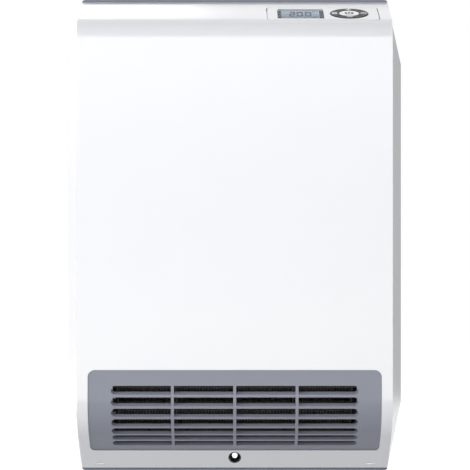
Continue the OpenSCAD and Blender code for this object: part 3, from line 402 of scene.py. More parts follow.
def solder_resist(slot, shade):
    """Green lacquer over copper tracks, which show as paler, slightly raised lines."""
    finish = Finish(slot)
    tracks = finish.node("TexBrick", {"offset": 0.35}, {
        "Vector": place(finish), "Color1": (0, 0, 0, 1), "Color2": (0, 0, 0, 1),
        "Mortar": (1, 1, 1, 1), "Scale": 60.0, "Mortar Size": 0.035})
    line = finish.node("SeparateXYZ", {}, {0: tracks})
    colour = blend(finish, line * 0.8, shade, tinted(shade, 2.2))
    finished(slot, finish, {
        "Base Color": colour, "Roughness": noise(finish, 0.002, 3) * 0.15 + 0.25,
        "Normal": relief(finish, line, 0.00003),
    })


laminated("core_steel", (0.34, 0.35, 0.37, 1), "X", pitch=0.001, metal=0.9)
laminated("rotor_alloy", (0.56, 0.57, 0.59, 1), "X", pitch=0.001, metal=0.95)
laminated("coil_copper", (0.5, 0.2, 0.08, 1), "Y", pitch=0.0007, metal=0.85)
# The mica board's own tone, made darker than mica as painted shade for the inside seen through the
# grille.
mica("mica_board", display_colour(66, 64, 62))
oxidised("heating_wire")
solder_resist("board_green", (0.012, 0.085, 0.035, 1))
print("layers ready")

# %% [markdown]
# ## Display
#
# A reflective display is a grey-blue cell behind a clear lens. Such a lens has its faces coated
# against reflections, because the panel is read at a slant: its index is near that of air, and a
# thin coat keeps a little gloss. Lamps have to reach the cell through the lens, and a path tracer
# doesn't send light straight through refracting glass, so the lens lets rays from lamps pass.

# %% Lens and cell
def clear(slot):
    finish = Finish(slot)
    body = finish.node("BsdfPrincipled", {}, {
        "Base Color": (0.98, 0.99, 1.0, 1), "IOR": 1.03, "Transmission Weight": 1.0,
        "Roughness": noise(finish, 0.01, 3) * 0.02 + 0.01,
        "Coat Weight": 0.05, "Coat Roughness": 0.03,
    })
    passing = finish.node("BsdfTransparent")
    lamp_ray = finish.node("LightPath", out="Is Shadow Ray")
    finish.surface(finish.node("MixShader", {}, {0: lamp_ray, 1: body, 2: passing}))
    finishes[slot] = finish.material


def display_cell(slot, painted_shade_front, painted_light_back):
    """A fine grid, with painted light: paler towards the back, where more light falls in under the
    lens, and painted shade towards the front.
    """
    finish = Finish(slot)
    grid = bands(finish, "X", 0.0005)
    low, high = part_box("display_glass")
    # This share runs from painted shade at the cell's front (0) to painted light at its back (1).
    depth = (axis(finish, "Y") - low[1]) / (high[1] - low[1])
    colour = blend(finish, depth + grid * 0.06 + noise(finish, 0.012) * 0.1,
                   painted_shade_front, painted_light_back)
    finished(slot, finish, {
        "Base Color": colour, "Roughness": grid * 0.05 + 0.5, "Specular IOR Level": 0.0})


clear("clear_lens")
# The cell's two colours: painted shade at its front and painted light at its back.
display_cell("display_grey", display_colour(86, 96, 110), display_colour(142, 153, 166))
print("finishes:", len(finishes))

# %% [markdown]
# ## Paint on the frame
#
# In the record each node of the frame names its material slot, and a finish is filed under the
# same name. So one loop paints them all, and a piece that stands for a node later on finds its
# finish in the same way.

# %% Paint every node of the frame
slot_of = {row["node"]: row["material_slot"] for row in frame["record"]["subparts"]}
for name, node in nodes.items():
    node.data.materials.clear()
    node.data.materials.append(finishes[slot_of[name]])
print("painted", len(slot_of), "nodes")

# %% [markdown]
# ## Floor and world
#
# The heater hangs on a wall, so the floor lies well under it. The floor and the world are white
# to the camera and to reflections, and plain grey to everything else: white surroundings then
# don't flood the white cover with light. A floor seen from below would hide the heater, so its
# underside is clear.

# %% Floor
floor_drop = 0.13  # metres from the heater's underside down to the floor


def looked_at(finish):
    """1 for a ray from the camera, a mirror or glass, and 0 for light on its way elsewhere."""
    camera_ray = finish.node("LightPath", out="Is Camera Ray")
    mirror_ray = finish.node("LightPath", out="Is Glossy Ray")
    glass_ray = finish.node("LightPath", out="Is Transmission Ray")
    either = mirror_ray.maths("MAXIMUM", mirror_ray, glass_ray)
    return camera_ray.maths("MAXIMUM", camera_ray, either)


def staged(name):
    """White where it is looked at, with the object's shadow; clear from below."""
    finish = Finish(name)
    card = finish.node("BsdfDiffuse", {}, {"Color": (0.45, 0.45, 0.46, 1)})
    glow = finish.node("Emission", {}, {"Strength": 0.85})
    lit = finish.node("AddShader", {}, {0: card, 1: glow})
    top = finish.node("MixShader", {}, {0: looked_at(finish), 1: card, 2: lit})
    underside = finish.node("NewGeometry", out="Backfacing")
    clear_below = finish.node("BsdfTransparent")
    finish.surface(finish.node("MixShader", {}, {0: underside, 1: top, 2: clear_below}))
    return finish.material


floor_z = cad_size[0][2] - floor_drop
bpy.ops.mesh.primitive_plane_add(size=40, location=(0, 0, floor_z))
floor = bpy.context.object
floor.name = "floor"
floor.data.materials.append(staged("floor_white"))
print("floor at", round(floor_z, 3))


# %% World
class Sky(Finish):
    """The world, whose nodes are added in the same way as a material's."""

    def __init__(self, name):
        self.world = bpy.data.worlds.new(name)
        self.world.use_nodes = True
        self.tree = self.world.node_tree
        self.tree.nodes.clear()
        self.output = self.tree.nodes.new("ShaderNodeOutputWorld")


sky = Sky("studio")
white = sky.node("Background", {}, {"Color": (1, 1, 1, 1)})
dim = sky.node("Background", {}, {"Color": (0.97, 0.975, 1.0, 1), "Strength": 0.38})
sky.surface(sky.node("MixShader", {}, {0: looked_at(sky), 1: dim, 2: white}))
bpy.context.scene.world = sky.world
print("world ready:", len(sky.tree.nodes), "nodes")

# %% [markdown]
# ## Boards that are only mirrored
#
# The right side of the cover is seen almost edge on, so it mirrors a narrow strip of the room far
# behind. In a studio a grey board, called a flag, stands there, and its reflection sets that side
# off from the white behind it. Two bright cards work the other way: one hangs over the heater,
# where the bend between front and top mirrors it, and one stands over the camera and gives the
# front a brighter band along its top. All three are seen in reflections only, and block no light.

# %% Flag and cards
def board(name, spot, turn, width, height, strength):
    """A glowing board, level or turned up by turn degrees, that only gloss and metal show."""
    glow = Finish(name)
    glow.surface(glow.node("Emission", {}, {"Strength": strength}))
    bpy.ops.mesh.primitive_plane_add(size=1, location=spot, rotation=(math.radians(turn), 0, 0))
    sheet = bpy.context.object
    sheet.name = name
    sheet.scale = (width, height, 1)
    sheet.data.materials.append(glow.material)
    for seen_by in ("camera", "diffuse", "transmission", "volume_scatter", "shadow"):
        setattr(sheet, "visible_" + seen_by, False)
    print(name, "at", tuple(sheet.location))


board("flag", (0.88, 2.4, 0.3), 90, width=1.1, height=2.0, strength=0.5)
board("card_over_bend", (0, 0.95, 2.2), 0, width=3.0, height=1.6, strength=1.65)
board("card_over_camera", (0.1, -2.85, 0.49), 90, width=1.6, height=0.32, strength=3.0)

# %% [markdown]
# ## Lamps
#
# Soft, even light on a product comes from wide area lamps. White gloss is drawn by what it
# mirrors, so each lamp also has a place to be mirrored: the wide one over the camera in the front,
# and the two narrow ones, high and far behind, as the highlight along the middle of the top slope,
# the stronger of them at its left end. The strip below is for the chin, the left side is the
# brighter one, and the last lamp lights the back. An area lamp shines along its own -Z, so a
# quarter turn makes it shine along Y, and from there it is tipped and turned to its target.

# %% Lamps
def lamp(name, spot, target, width, height, watts, tint=(1, 1, 1)):
    light = bpy.data.lights.new(name, "AREA")
    light.shape = "RECTANGLE"
    light.size, light.size_y = width, height
    light.energy = watts
    light.color = tint
    holder = bpy.data.objects.new(name, light)
    holder.location = spot
    aim = (Vector(target) - Vector(spot)).normalized()
    tip, turn = math.radians(90) + math.asin(aim.z), math.atan2(-aim.x, aim.y)
    holder.rotation_euler = (tip, 0, turn)
    holder.visible_camera = False
    bpy.context.scene.collection.objects.link(holder)


warm = (1.0, 0.98, 0.92)
lamp("front_box", (0, -2.8, 0.42), (0, 0, 0.1), width=2.0, height=1.25, watts=21)
lamp("low_strip", (0, -2.2, -0.25), (0, -0.1, -0.1), width=1.6, height=0.2, watts=4, tint=warm)
lamp("left_box", (-2.4, -1.4, 0.2), (0, -0.1, 0), width=1.0, height=1.8, watts=36)
lamp("right_box", (2.4, -1.4, 0.2), (0, -0.1, 0), width=1.0, height=1.8, watts=3)
lamp("slope_box", (-1.1, 2.6, 2.3), (0, 0, 0.1), width=2.2, height=0.5, watts=7.4)
lamp("slope_fill", (0.8, 2.6, 2.3), (0.2, 0, 0.1), width=1.8, height=0.5, watts=2.7)
lamp("back_box", (-2.0, 2.4, 1.0), (0, 0, 0), width=1.2, height=1.2, watts=48)

# %% [markdown]
# ## Soft edges on every part
#
# No moulded, cast or punched edge is sharp: its tool or its coating rounds it, and that round is
# what catches the light along every outline. The parts keep their shape from the frame, so a copy
# of the node is cleaned and bevelled instead of being modelled again. A node's mesh is loose
# triangles, so the copy's corners are merged first, flat faces are joined to single faces, and
# then only the edges that turn by more than 25 degrees are bevelled. Each corner takes its shading
# from the largest face beside it, so that a large flat face stays flat up to its rounded edge.

# %% Copy a node as one clean mesh
body_of = {node: body for body, group in frame["record"]["behaviour"]["bodies"].items()
           for node in group}


def only(piece):
    """Leaves edit mode, and selects this piece alone."""
    if bpy.context.object and bpy.context.object.mode != "OBJECT":
        bpy.ops.object.mode_set(mode="OBJECT")
    bpy.ops.object.select_all(action="DESELECT")
    bpy.context.view_layer.objects.active = piece
    piece.select_set(True)


def clean_copy(node, name):
    """A copy with merged corners, and flat faces joined to single faces."""
    piece = bpy.data.objects.new(name, nodes[node].data.copy())
    bpy.context.scene.collection.objects.link(piece)
    only(piece)
    bpy.ops.object.mode_set(mode="EDIT")
    bpy.ops.mesh.select_all(action="SELECT")
    bpy.ops.mesh.remove_doubles(threshold=0.000002)
    bpy.ops.mesh.dissolve_limited(angle_limit=math.radians(0.3))
    bpy.ops.object.mode_set(mode="OBJECT")
    return piece


def soft_edges(piece, width, steps=2, above=25):
    """Bevels every edge that turns by more than above degrees."""
    only(piece)
    bevel = piece.modifiers.new("edges", "BEVEL")
    bevel.width, bevel.segments = width, steps
    bevel.limit_method, bevel.angle_limit = "ANGLE", math.radians(above)
    bevel.use_clamp_overlap = True
    bpy.ops.object.modifier_apply(modifier=bevel.name)
    bpy.ops.object.shade_smooth_by_angle(angle=math.radians(above))
    flats = piece.modifiers.new("flats", "WEIGHTED_NORMAL")
    flats.mode, flats.weight, flats.keep_sharp = "FACE_AREA", 100, True
    bpy.ops.object.modifier_apply(modifier=flats.name)
    return piece


def stands_for(piece, node):
    """Paints a piece as the node that it stands for, and hides that node."""
    piece.data.materials.clear()
    piece.data.materials.append(finishes[slot_of[node]])
    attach(piece, body_of[node])
    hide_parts(node)


print("bodies:", sorted(set(body_of.values())))

# %% Round the edges
edge = {  # each node's bevel, in millimetres
    "front_cover": 0.7, "outlet_grille": 0.6, "rear_casing": 0.6, "control_panel": 0.4,
    "display_lens": 0.2, "display_frame": 0.2, "lock_bush": 0.3, "lock_screw": 0.3,
    "key_plus": 0.4, "key_minus": 0.4, "key_menu": 0.4, "key_timer": 0.4, "key_power": 0.4,
    "key_carrier": 0.2, "key_switches": 0.2, "control_board_screws": 0.3,
    "wall_bracket": 0.4, "wall_pads": 0.8, "cover_screws": 0.3, "cable_gland": 0.6,
    "duct_scroll": 0.3, "duct_tongue": 0.3, "duct_end_left": 0.4, "duct_end_right": 0.4,
    "duct_screws": 0.3, "fan_pin": 0.3, "fan_bearing": 0.3, "bearing_rubber": 0.4,
    "motor_shaft": 0.3, "motor_rotor": 0.5, "motor_core": 0.2, "motor_screws": 0.3,
    "motor_bracket_inner": 0.6, "motor_bracket_outer": 0.6,
    "thermal_cutout": 0.3, "thermal_fuse": 0.8, "heater_terminals": 0.2,
    "relays": 0.6, "power_parts": 0.8, "terminal_block": 0.5, "power_board_screws": 0.3,
    "room_sensor": 0.5,
}
wide_edge = 0.65  # a wider bevel takes one more step
for node, width in edge.items():
    steps = 3 if width > wide_edge else 2
    rounded = soft_edges(clean_copy(node, node + "_shell"), width / 1000, steps)
    stands_for(rounded, node)
    print(node, "faces:", len(rounded.data.polygons))

# %% [markdown]
# ## Places on the control panel
#
# The panel slopes, so everything on it is modelled flat, about the origin, and then put in place
# by one matrix: move to the middle of a node's top face, and tilt by the slope. That middle is
# found on the node itself, among the corners that lie furthest along the panel's normal.

# %% The panel's own coordinates
slope = math.radians(20)
tilt = Matrix.Rotation(slope, 4, "X")


def top_of(node):
    """The middle of a panel part's top face, with its width and its length up the slope."""
    flat = [tilt.inverted() @ corner.co for corner in nodes[node].data.vertices]
    level = max(spot.z for spot in flat)
    hair = 0.00001
    top = [spot for spot in flat if spot.z > level - hair]
    x0, x1 = min(s.x for s in top), max(s.x for s in top)
    y0, y1 = min(s.y for s in top), max(s.y for s in top)
    return tilt @ Vector(((x0 + x1) / 2, (y0 + y1) / 2, level)), x1 - x0, y1 - y0


def on_panel(spot, across=0.0, up_slope=0.0, out=0.0):
    """A matrix for a place on the panel, measured from spot along its width, slope and normal."""
    return Matrix.Translation(spot) @ tilt @ Matrix.Translation((across, up_slope, out))


cell_top, cell_w, cell_l = top_of("display_glass")
lens_top, lens_w, lens_l = top_of("display_lens")
power_top, power_w, _ = top_of("key_power")
print("cell", round(cell_w, 4), "x", round(cell_l, 4), "power key", round(power_w, 4))
print("lens", round(lens_w, 4), "x", round(lens_l, 4))

# %% [markdown]
# ## Printed marks
#
# The figures and the marks on the keys are made of bars and rings, as on any seven-segment
# display. Each is one primitive, shaped in edit mode and then extruded by a few hundredths of a
# millimetre, which is about what a printed or moulded-in mark stands proud.

# %% Bars and rings
mark_height = 0.00005


def raised():
    """Gives the flat shape in edit mode its thickness, and ends edit mode."""
    bpy.ops.mesh.select_all(action="SELECT")
    bpy.ops.mesh.extrude_region_move(TRANSFORM_OT_translate={"value": (0, 0, mark_height)})
    bpy.ops.mesh.select_all(action="SELECT")
    bpy.ops.mesh.normals_make_consistent(inside=False)
    bpy.ops.object.mode_set(mode="OBJECT")
    return bpy.context.object


def bar(width, length, pointed=0.0):
    """A flat bar, whose ends may be pointed and reach further, as a display's segments do."""
    bpy.ops.object.select_all(action="DESELECT")
    bpy.ops.mesh.primitive_plane_add(size=1)
    bpy.ops.object.mode_set(mode="EDIT")
    bpy.ops.transform.resize(value=(width, length, 1))
    if pointed:
        bpy.ops.mesh.subdivide(number_cuts=1)
        sheet = bpy.context.object
        bpy.ops.object.mode_set(mode="OBJECT")
        for corner in sheet.data.vertices:
            if abs(corner.co.x) < width / 4 and abs(corner.co.y) > length / 4:
                corner.co.y *= 1 + pointed / (length / 2)
        bpy.ops.object.mode_set(mode="EDIT")
    return raised()


def ring(outer, width, gap=0.0, sides=48):
    """A flat ring, open for gap degrees round its top."""
    bpy.ops.object.select_all(action="DESELECT")
    bpy.ops.mesh.primitive_circle_add(vertices=sides, radius=outer - width, fill_type="NOTHING")
    bpy.ops.object.mode_set(mode="EDIT")
    bpy.ops.mesh.select_all(action="SELECT")
    bpy.ops.mesh.extrude_edges_move()
    grow = outer / (outer - width)
    bpy.ops.transform.resize(value=(grow, grow, 1))
    bpy.ops.object.mode_set(mode="OBJECT")
    band = bpy.context.object
    for face in band.data.polygons:
        off_top = abs(math.degrees(math.atan2(face.center.x, face.center.y)))
        face.select = off_top < gap / 2
    bpy.ops.object.mode_set(mode="EDIT")
    bpy.ops.mesh.select_mode(type="FACE")
    if gap:
        bpy.ops.mesh.delete(type="FACE")
    return raised()


def put(piece, matrix):
    """Moves a piece's mesh, so that its object stays at the origin."""
    piece.data.transform(matrix)
    return piece


def joined(parts, name, slot, body="casing"):
    """One piece from several, with its finish, riding on a body."""
    bpy.ops.object.select_all(action="DESELECT")
    for part in parts:
        part.select_set(True)
    whole = parts[0]
    bpy.context.view_layer.objects.active = whole
    if len(parts) > 1:
        bpy.ops.object.join()
    whole.name = whole.data.name = name
    whole.data.materials.clear()
    whole.data.materials.append(finishes[slot])
    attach(whole, body)
    print(name, "faces:", len(whole.data.polygons))
    return whole


# %% [markdown]
# ## Display figures
#
# The cell shows a number in seven-segment figures, which light up as straight bars with pointed
# ends. A figure is a list of the bars that are on. A dot, a row of small bars for the heat level
# and a ring for degrees stand round them. They lie on the cell, just behind the lens.

# %% Seven-segment figures
figure_w, figure_h, stroke = 0.0063, 0.0180, 0.0018
quarter = figure_h / 4
half_w = figure_w / 2 - stroke / 2
strokes = {  # across, up, and whether the bar lies level
    "top": (0, figure_h / 2 - stroke, True), "middle": (0, 0, True),
    "bottom": (0, -figure_h / 2 + stroke, True),
    "upper_left": (-half_w, quarter, False), "upper_right": (half_w, quarter, False),
    "lower_left": (-half_w, -quarter, False), "lower_right": (half_w, -quarter, False),
}
lit = {
    "2": ("top", "upper_right", "middle", "lower_left", "bottom"),
    "0": ("top", "upper_left", "upper_right", "lower_left", "lower_right", "bottom"),
}
quarter_turn = Matrix.Rotation(math.radians(90), 4, "Z")
figure_rise = 0.0025  # up the slope, from the cell's middle to that of the figures
figure_spot = cell_top + tilt @ Vector((0, figure_rise, 0))
marks = []
for figure, across in (("2", -0.0080), ("0", -0.0006), ("0", 0.0076)):
    for name in lit[figure]:
        x, y, level = strokes[name]
        if level:
            piece = bar(stroke * 1.9, figure_w - 1.2 * stroke, pointed=stroke / 2)
            put(piece, quarter_turn)
        else:
            piece = bar(stroke, figure_h / 2 - 1.6 * stroke, pointed=stroke / 2)
        marks.append(put(piece, on_panel(figure_spot, across + x, y)))
print("bars lit:", len(marks))

# %% Dot, heat level and degrees
foot = -0.0112  # up the slope, the row under the figures
dot_across, first_level, level_pitch = -0.0041, 0.0122, 0.0017
marks.append(put(bar(0.0012, 0.0028), on_panel(figure_spot, dot_across, foot)))
for k in range(3):
    across = first_level + k * level_pitch
    marks.append(put(bar(0.0013, 0.0026), on_panel(figure_spot, across, foot)))
marks.append(put(ring(0.0014, 0.0006, sides=24), on_panel(figure_spot, 0.0135, 0.0105)))
joined(marks, "display_figures", "dark_trim")

# %% [markdown]
# ## Display mask
#
# The lens is stuck into a pocket of the white panel. A dark print under its rim and up its sides
# hides the white behind it. So the mask is a shallow tray: a plane is inset and its middle taken
# out, which leaves a flat frame, and the frame's outer edge is drawn up round the lens. Solidify
# then gives the tray its thickness. Along the back the print has the cell's own tone, so that
# strip is cut off the tray as a piece of its own.

# %% Mask behind the lens
lens_t = 0.0015
mask_play = 0.00012  # how much wider the mask is than the lens
rim, side_rims = 0.0015, 0.905  # width of the frame, and what its sides leave of the opening
ink_t, under_lens = 0.00004, 0.00005

bpy.ops.object.select_all(action="DESELECT")
bpy.ops.mesh.primitive_plane_add(size=1)
bpy.ops.object.mode_set(mode="EDIT")
bpy.ops.transform.resize(value=(lens_w + mask_play, lens_l + mask_play, 1))
bpy.ops.mesh.inset(thickness=rim)
bpy.ops.transform.resize(value=(side_rims, 1, 1))
bpy.ops.mesh.delete(type="FACE")
bpy.ops.object.mode_set(mode="OBJECT")
mask = bpy.context.object
for side in mask.data.edges:
    middle = sum((mask.data.vertices[k].co for k in side.vertices), Vector()) / 2
    side.select = max(abs(middle.x) / lens_w, abs(middle.y) / lens_l) > 0.5
bpy.ops.object.mode_set(mode="EDIT")
bpy.ops.mesh.select_mode(type="EDGE")
bpy.ops.mesh.extrude_edges_move(TRANSFORM_OT_translate={"value": (0, 0, lens_t)})
bpy.ops.object.mode_set(mode="OBJECT")
print_ink = mask.modifiers.new("ink", "SOLIDIFY")
print_ink.thickness, print_ink.offset = ink_t, 0
bpy.ops.object.modifier_apply(modifier=print_ink.name)
print("mask faces:", len(mask.data.polygons))

# %% The strip along its back
strip_l = 0.0022


def twin_of(piece):
    """A copy of a piece, with a mesh of its own."""
    twin = piece.copy()
    twin.data = piece.data.copy()
    bpy.context.scene.collection.objects.link(twin)
    return twin


strip = twin_of(mask)
cut_y = lens_l / 2 - strip_l
for part, drop_back in ((mask, True), (strip, False)):
    only(part)
    bpy.ops.object.mode_set(mode="EDIT")
    bpy.ops.mesh.select_all(action="SELECT")
    bpy.ops.mesh.bisect(plane_co=(0, cut_y, 0), plane_no=(0, 1, 0), use_fill=True,
                        clear_outer=drop_back, clear_inner=not drop_back)
    bpy.ops.object.mode_set(mode="OBJECT")
    put(part, on_panel(lens_top, out=-lens_t - under_lens))
joined([mask], "display_mask", "dark_trim")
# The strip lies behind the cell's back edge, so it takes the palest colour of the cell's painted
# light.
joined([strip], "display_mask_back", "display_grey")

# %% [markdown]
# ## Marks on the keys
#
# Plus, minus, a list, a clock and the usual on-off mark. Each is a piece that rides on its own
# key, so that it goes down with it.

# %% Key marks
key_r = 0.0142  # from the middle key to the middle of a ring key


def on_keys(flat, across=0.0, up_slope=0.0):
    """Puts a flat mark on the ring, measured from the middle of the power key."""
    return put(flat, on_panel(power_top, across, up_slope))


def level_bar(length, width, across, up_slope):
    return on_keys(put(bar(width, length), quarter_turn), across, up_slope)


def key_mark(key, flats, slot="key_white"):
    joined(flats, f"mark_{key}", slot, f"key_{key}_body")


key_mark("plus", [level_bar(0.0056, 0.0014, 0, key_r), on_keys(bar(0.0012, 0.0062), 0, key_r)])
key_mark("minus", [level_bar(0.0058, 0.0018, 0, -key_r)])
key_mark("menu", [level_bar(0.0052, 0.0013, -key_r, row * 0.0024) for row in (-1, 0, 1)])
key_mark("timer", [on_keys(ring(0.003, 0.0009), key_r), on_keys(bar(0.0007, 0.002), key_r, 0.0008),
                   level_bar(0.0013, 0.0007, key_r + 0.0005, 0)])
key_mark("power", [on_keys(ring(0.0045, 0.0019, gap=64)), on_keys(bar(0.0016, 0.0052), 0, 0.0022)],
         "key_black")

# %% [markdown]
# ## Heating wires
#
# The heater is five open coils of resistance wire, strung through holes in the mica combs. In the
# frame each is a plain tube, because only its room matters there. A coil could be a curve with a
# bevel, but a mesh is simpler to finish: a small circle stands beside the axis, and the Screw
# modifier carries it round and along in one go. The circle has six sides, since there are hundreds
# of turns. One coil is modelled, and the other four are copies.

# %% Wound coils
bank_lean = math.radians(40)
bank_low, bank_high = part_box("heater_frame")
bank_middle = (bank_low + bank_high) / 2
in_bank = Matrix.Translation(bank_middle) @ Matrix.Rotation(bank_lean, 4, "X")
coil_r, wire_r, coil_pitch = 0.0035, 0.00042, 0.0029
coil_low, coil_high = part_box("heater_coils")
coil_half = (coil_high[0] - coil_low[0]) / 2 - coil_pitch / 2
turns = int(2 * coil_half / coil_pitch)

bpy.ops.object.select_all(action="DESELECT")
bpy.ops.mesh.primitive_circle_add(vertices=6, radius=wire_r)
bpy.ops.object.mode_set(mode="EDIT")
bpy.ops.mesh.select_all(action="SELECT")
bpy.ops.transform.rotate(value=math.radians(90), orient_axis="X", center_override=(0, 0, 0))
bpy.ops.transform.translate(value=(-turns * coil_pitch / 2, 0, coil_r - wire_r))
bpy.ops.object.mode_set(mode="OBJECT")
coil = bpy.context.object
screw = coil.modifiers.new("winding", "SCREW")
screw.axis, screw.screw_offset, screw.iterations = "X", coil_pitch, turns
screw.steps = screw.render_steps = 14
bpy.ops.object.modifier_apply(modifier=screw.name)
bpy.ops.object.mode_set(mode="EDIT")
bpy.ops.mesh.select_all(action="SELECT")
bpy.ops.mesh.remove_doubles(threshold=0.00001)
bpy.ops.mesh.fill_holes(sides=0)
bpy.ops.mesh.select_all(action="SELECT")
bpy.ops.mesh.normals_make_consistent(inside=False)
bpy.ops.object.mode_set(mode="OBJECT")
bpy.ops.object.shade_smooth_by_angle(angle=math.radians(62))
xs = [corner.co.x for corner in coil.data.vertices]
print("turns:", turns, "coil from", round(min(xs), 4), "to", round(max(xs), 4))

# %% Five coils
coil_spacing = 0.0104
coils = [coil] + [twin_of(coil) for _ in range(4)]
for k, strand in enumerate(coils):
    put(strand, in_bank @ Matrix.Translation((0, 0, (k - 2) * coil_spacing)))
wires = joined(coils, "heater_wires", "heating_wire")
stands_for(wires, "heater_coils")

# %% [markdown]
# ## Motor winding
#
# A shaded-pole motor has one coil: lacquered copper wire on a plastic bobbin, round the yoke of
# the core. The bobbin is an H in section, so two end plates stand out past the wire, and the wire
# bulges a little between them. Both are rounded rectangles, extruded along the yoke, with the
# yoke's own rectangle left open in the middle.

# %% Rounded sleeves round the yoke
sleeve_low, sleeve_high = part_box("motor_coil")
core_low, core_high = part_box("motor_core")
sleeve_middle = (sleeve_low + sleeve_high) / 2
sleeve_size = sleeve_high - sleeve_low
yoke_play, yoke_step = 0.0002, 0.0010  # room round the yoke, and how much lower its opening is
yoke_w = core_high.x - core_low.x + yoke_play
yoke_h = sleeve_size.z - (sleeve_size.x - yoke_w) - yoke_step


def sleeve(name, width, height, y0, y1, corner, bulge=1.0):
    """A tube along Y round the yoke, open for the yoke, from y0 to y1 past the middle."""
    half_way = {"value": (0, 0, (y1 - y0) / 2)}
    bpy.ops.object.select_all(action="DESELECT")
    bpy.ops.mesh.primitive_plane_add(size=1)
    tube = bpy.context.object
    bpy.ops.object.mode_set(mode="EDIT")
    bpy.ops.transform.resize(value=(width, height, 1))
    bpy.ops.mesh.bevel(offset=corner, segments=4, affect="VERTICES")
    bpy.ops.mesh.select_all(action="SELECT")
    bpy.ops.mesh.extrude_region_move(TRANSFORM_OT_translate=half_way)
    bpy.ops.transform.resize(value=(bulge, bulge, 1))
    bpy.ops.mesh.extrude_region_move(TRANSFORM_OT_translate=half_way)
    bpy.ops.transform.resize(value=(1 / bulge, 1 / bulge, 1))
    bpy.ops.mesh.select_all(action="SELECT")
    bpy.ops.mesh.normals_make_consistent(inside=False)
    bpy.ops.object.mode_set(mode="OBJECT")
    bpy.ops.mesh.primitive_cube_add(size=1)
    yoke = bpy.context.object
    yoke.data.transform(Matrix.Diagonal((yoke_w, yoke_h, 1, 1)))
    only(tube)
    opening = tube.modifiers.new("yoke", "BOOLEAN")
    opening.object, opening.operation, opening.solver = yoke, "DIFFERENCE", "EXACT"
    bpy.ops.object.modifier_apply(modifier=opening.name)
    bpy.data.objects.remove(yoke)
    put(tube, Matrix.Translation((0, 0, y0)))
    put(tube, Matrix.Translation(sleeve_middle) @ Matrix.Rotation(math.radians(-90), 4, "X"))
    tube.name = name
    return soft_edges(tube, 0.0003)


half = sleeve_size.y / 2
plate_t, plate_corner = 0.0012, 0.002
sunk, wire_end, wire_corner = 0.0035, 0.0013, 0.004  # the wire is lower and shorter than the bobbin
plates = [sleeve("plate", sleeve_size.x, sleeve_size.z, -half, -half + plate_t, plate_corner),
          sleeve("plate", sleeve_size.x, sleeve_size.z, half - plate_t, half, plate_corner)]
joined(plates, "motor_bobbin", "ivory_plastic")
winding = sleeve("motor_winding", sleeve_size.x - sunk, sleeve_size.z - sunk,
                 -half + wire_end, half - wire_end, wire_corner, bulge=1.05)
stands_for(winding, "motor_coil")
print("yoke opening", round(yoke_w, 4), "x", round(yoke_h, 4))

# %% [markdown]
# ## Wires in their sleeves
#
# The inner leads run between the boards, the motor and the heater. In the frame each is an
# eight-sided tube. Its route is right, so a copy is only made rounder: one level of subdivision
# rounds the section, creases hold the flat ends, and smooth shading does the rest.

# %% Rounder leads
for node in ("display_cable", "motor_lead", "heater_lead"):
    lead = clean_copy(node, node + "_sleeve")
    only(lead)
    bpy.ops.object.mode_set(mode="EDIT")
    bpy.ops.mesh.select_all(action="DESELECT")
    bpy.ops.mesh.select_mode(type="EDGE")
    bpy.ops.mesh.edges_select_sharp(sharpness=math.radians(70))
    bpy.ops.transform.edge_crease(value=1.0)
    bpy.ops.object.mode_set(mode="OBJECT")
    rounder = lead.modifiers.new("rounder", "SUBSURF")
    rounder.levels = rounder.render_levels = 1
    bpy.ops.object.modifier_apply(modifier=rounder.name)
    bpy.ops.object.shade_smooth_by_angle(angle=math.radians(60))
    stands_for(lead, node)
    print(node, "faces:", len(lead.data.polygons))

# %% [markdown]
# ## Small parts on the power board
#
# Between the relays and the transformer stand the small parts: resistors with domed ends, and
# disc capacitors. A resistor is a cylinder whose middle is drawn in, so that its ends bulge as the
# real ones do. One body of each is modelled about the origin, and its copies are put down in rows.
# Two wire legs go through the board beside each, and on its back they end in a cone of solder.

# %% The board's place
board_low, board_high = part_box("power_board")
board_t = board_high.y - board_low.y
board_middle = (board_low + board_high) / 2
# A part's own upward direction points out of the board's front, which is along -Y.
on_front = Matrix.Translation((board_middle.x, board_low.y, board_middle.z)) \
    @ Matrix.Rotation(math.radians(90), 4, "X")


def on_board(x, z):
    """A place on the board's front, in millimetres from its middle."""
    return on_front @ Matrix.Translation((x / 1000, z / 1000, 0))


print("board:", round(board_t, 5), "thick, middle at", [round(c, 4) for c in board_middle])

# %% A resistor and a capacitor
resistor_middle, disc_middle = 0.0018, 0.0052  # their heights over the board


def resistor():
    bpy.ops.object.select_all(action="DESELECT")
    bpy.ops.mesh.primitive_cylinder_add(vertices=16, radius=0.0012, depth=0.0064)
    body = bpy.context.object
    bpy.ops.object.mode_set(mode="EDIT")
    bpy.ops.mesh.select_all(action="SELECT")
    for cut in (-0.0022, -0.0014, 0.0014, 0.0022):
        bpy.ops.mesh.bisect(plane_co=(0, 0, cut), plane_no=(0, 0, 1))
        bpy.ops.mesh.select_all(action="SELECT")
    bpy.ops.object.mode_set(mode="OBJECT")
    waist, waist_half = 0.78, 0.0016
    for corner in body.data.vertices:
        if abs(corner.co.z) < waist_half:
            corner.co.x, corner.co.y = corner.co.x * waist, corner.co.y * waist
    soft_edges(body, 0.0004, 3, above=40)
    put(body, Matrix.Rotation(math.radians(90), 4, "Y"))
    return put(body, Matrix.Translation((0, 0, resistor_middle)))


def disc_capacitor():
    bpy.ops.object.select_all(action="DESELECT")
    bpy.ops.mesh.primitive_cylinder_add(vertices=24, radius=0.0036, depth=0.0024)
    body = soft_edges(bpy.context.object, 0.0011, 3)
    put(body, Matrix.Rotation(math.radians(90), 4, "X"))
    return put(body, Matrix.Translation((0, 0, disc_middle)))


resistor_model, disc_model = resistor(), disc_capacitor()
print("faces:", len(resistor_model.data.polygons), "and", len(disc_model.data.polygons))

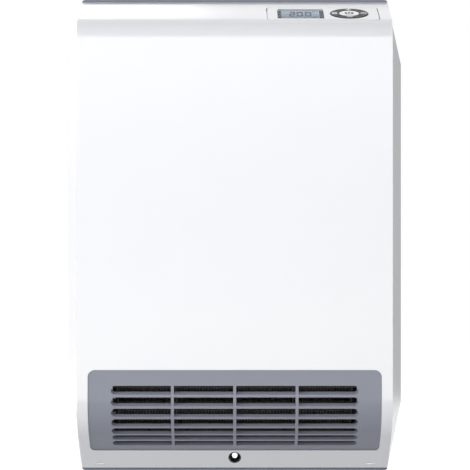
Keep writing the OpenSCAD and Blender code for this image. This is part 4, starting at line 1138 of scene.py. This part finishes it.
# %% A leg and a solder joint
leg_foot = 0.003  # how far a leg reaches below the board's front
solder_h, solder_drop = 0.0011, 0.0005  # its height, and its middle below the board's back


def leg(x, height):
    """A round wire leg at x, from under the board up to height, with a rounded tip."""
    bpy.ops.object.select_all(action="DESELECT")
    bpy.ops.mesh.primitive_cylinder_add(vertices=8, radius=0.0003, depth=height + leg_foot)
    wire = soft_edges(bpy.context.object, 0.0001, above=50)
    return put(wire, Matrix.Translation((x, 0, (height - leg_foot) / 2)))


def solder(x):
    """A cone of solder at x, its wide end against the board's back."""
    bpy.ops.object.select_all(action="DESELECT")
    bpy.ops.mesh.primitive_cone_add(vertices=12, radius1=0.0011, radius2=0.0004, depth=solder_h)
    joint = bpy.context.object
    bpy.ops.object.mode_set(mode="EDIT")
    bpy.ops.mesh.select_all(action="SELECT")
    bpy.ops.mesh.bevel(offset=0.0003, segments=2, affect="EDGES")
    bpy.ops.object.mode_set(mode="OBJECT")
    put(joint, Matrix.Rotation(math.radians(180), 4, "X"))
    return put(joint, Matrix.Translation((x, 0, -board_t - solder_drop)))


# %% Rows of small parts
resistor_spots = [(-6, 4), (-6, 9), (-6, 14), (-6, 19), (-6, 24), (7, 4), (7, 9),
                  (54, -14), (54, -19)]
disc_spots = [(6, 18), (6, 27), (-54, -8), (-54, -20), (54, -6)]
kinds = ((resistor_model, resistor_spots, "board_resistors", "ivory_plastic"),
         (disc_model, disc_spots, "board_discs", "relay_blue"))
for model, spots, name, slot in kinds:
    joined([put(twin_of(model), on_board(x, z)) for x, z in spots], name, slot)
    bpy.data.objects.remove(model)

# %% Legs and solder
legs, joints = [], []
for spots, reach, height in ((resistor_spots, 0.0042, 0.0018), (disc_spots, 0.0025, 0.0030)):
    for x, z in spots:
        for side in (-reach, reach):
            legs.append(put(leg(side, height), on_board(x, z)))
            joints.append(put(solder(side), on_board(x, z)))
joined(legs, "board_legs", "shaft_steel")
joined(joints, "board_solder", "screw_steel")

# %% [markdown]
#

# %% Update the scene
bpy.context.view_layer.update()
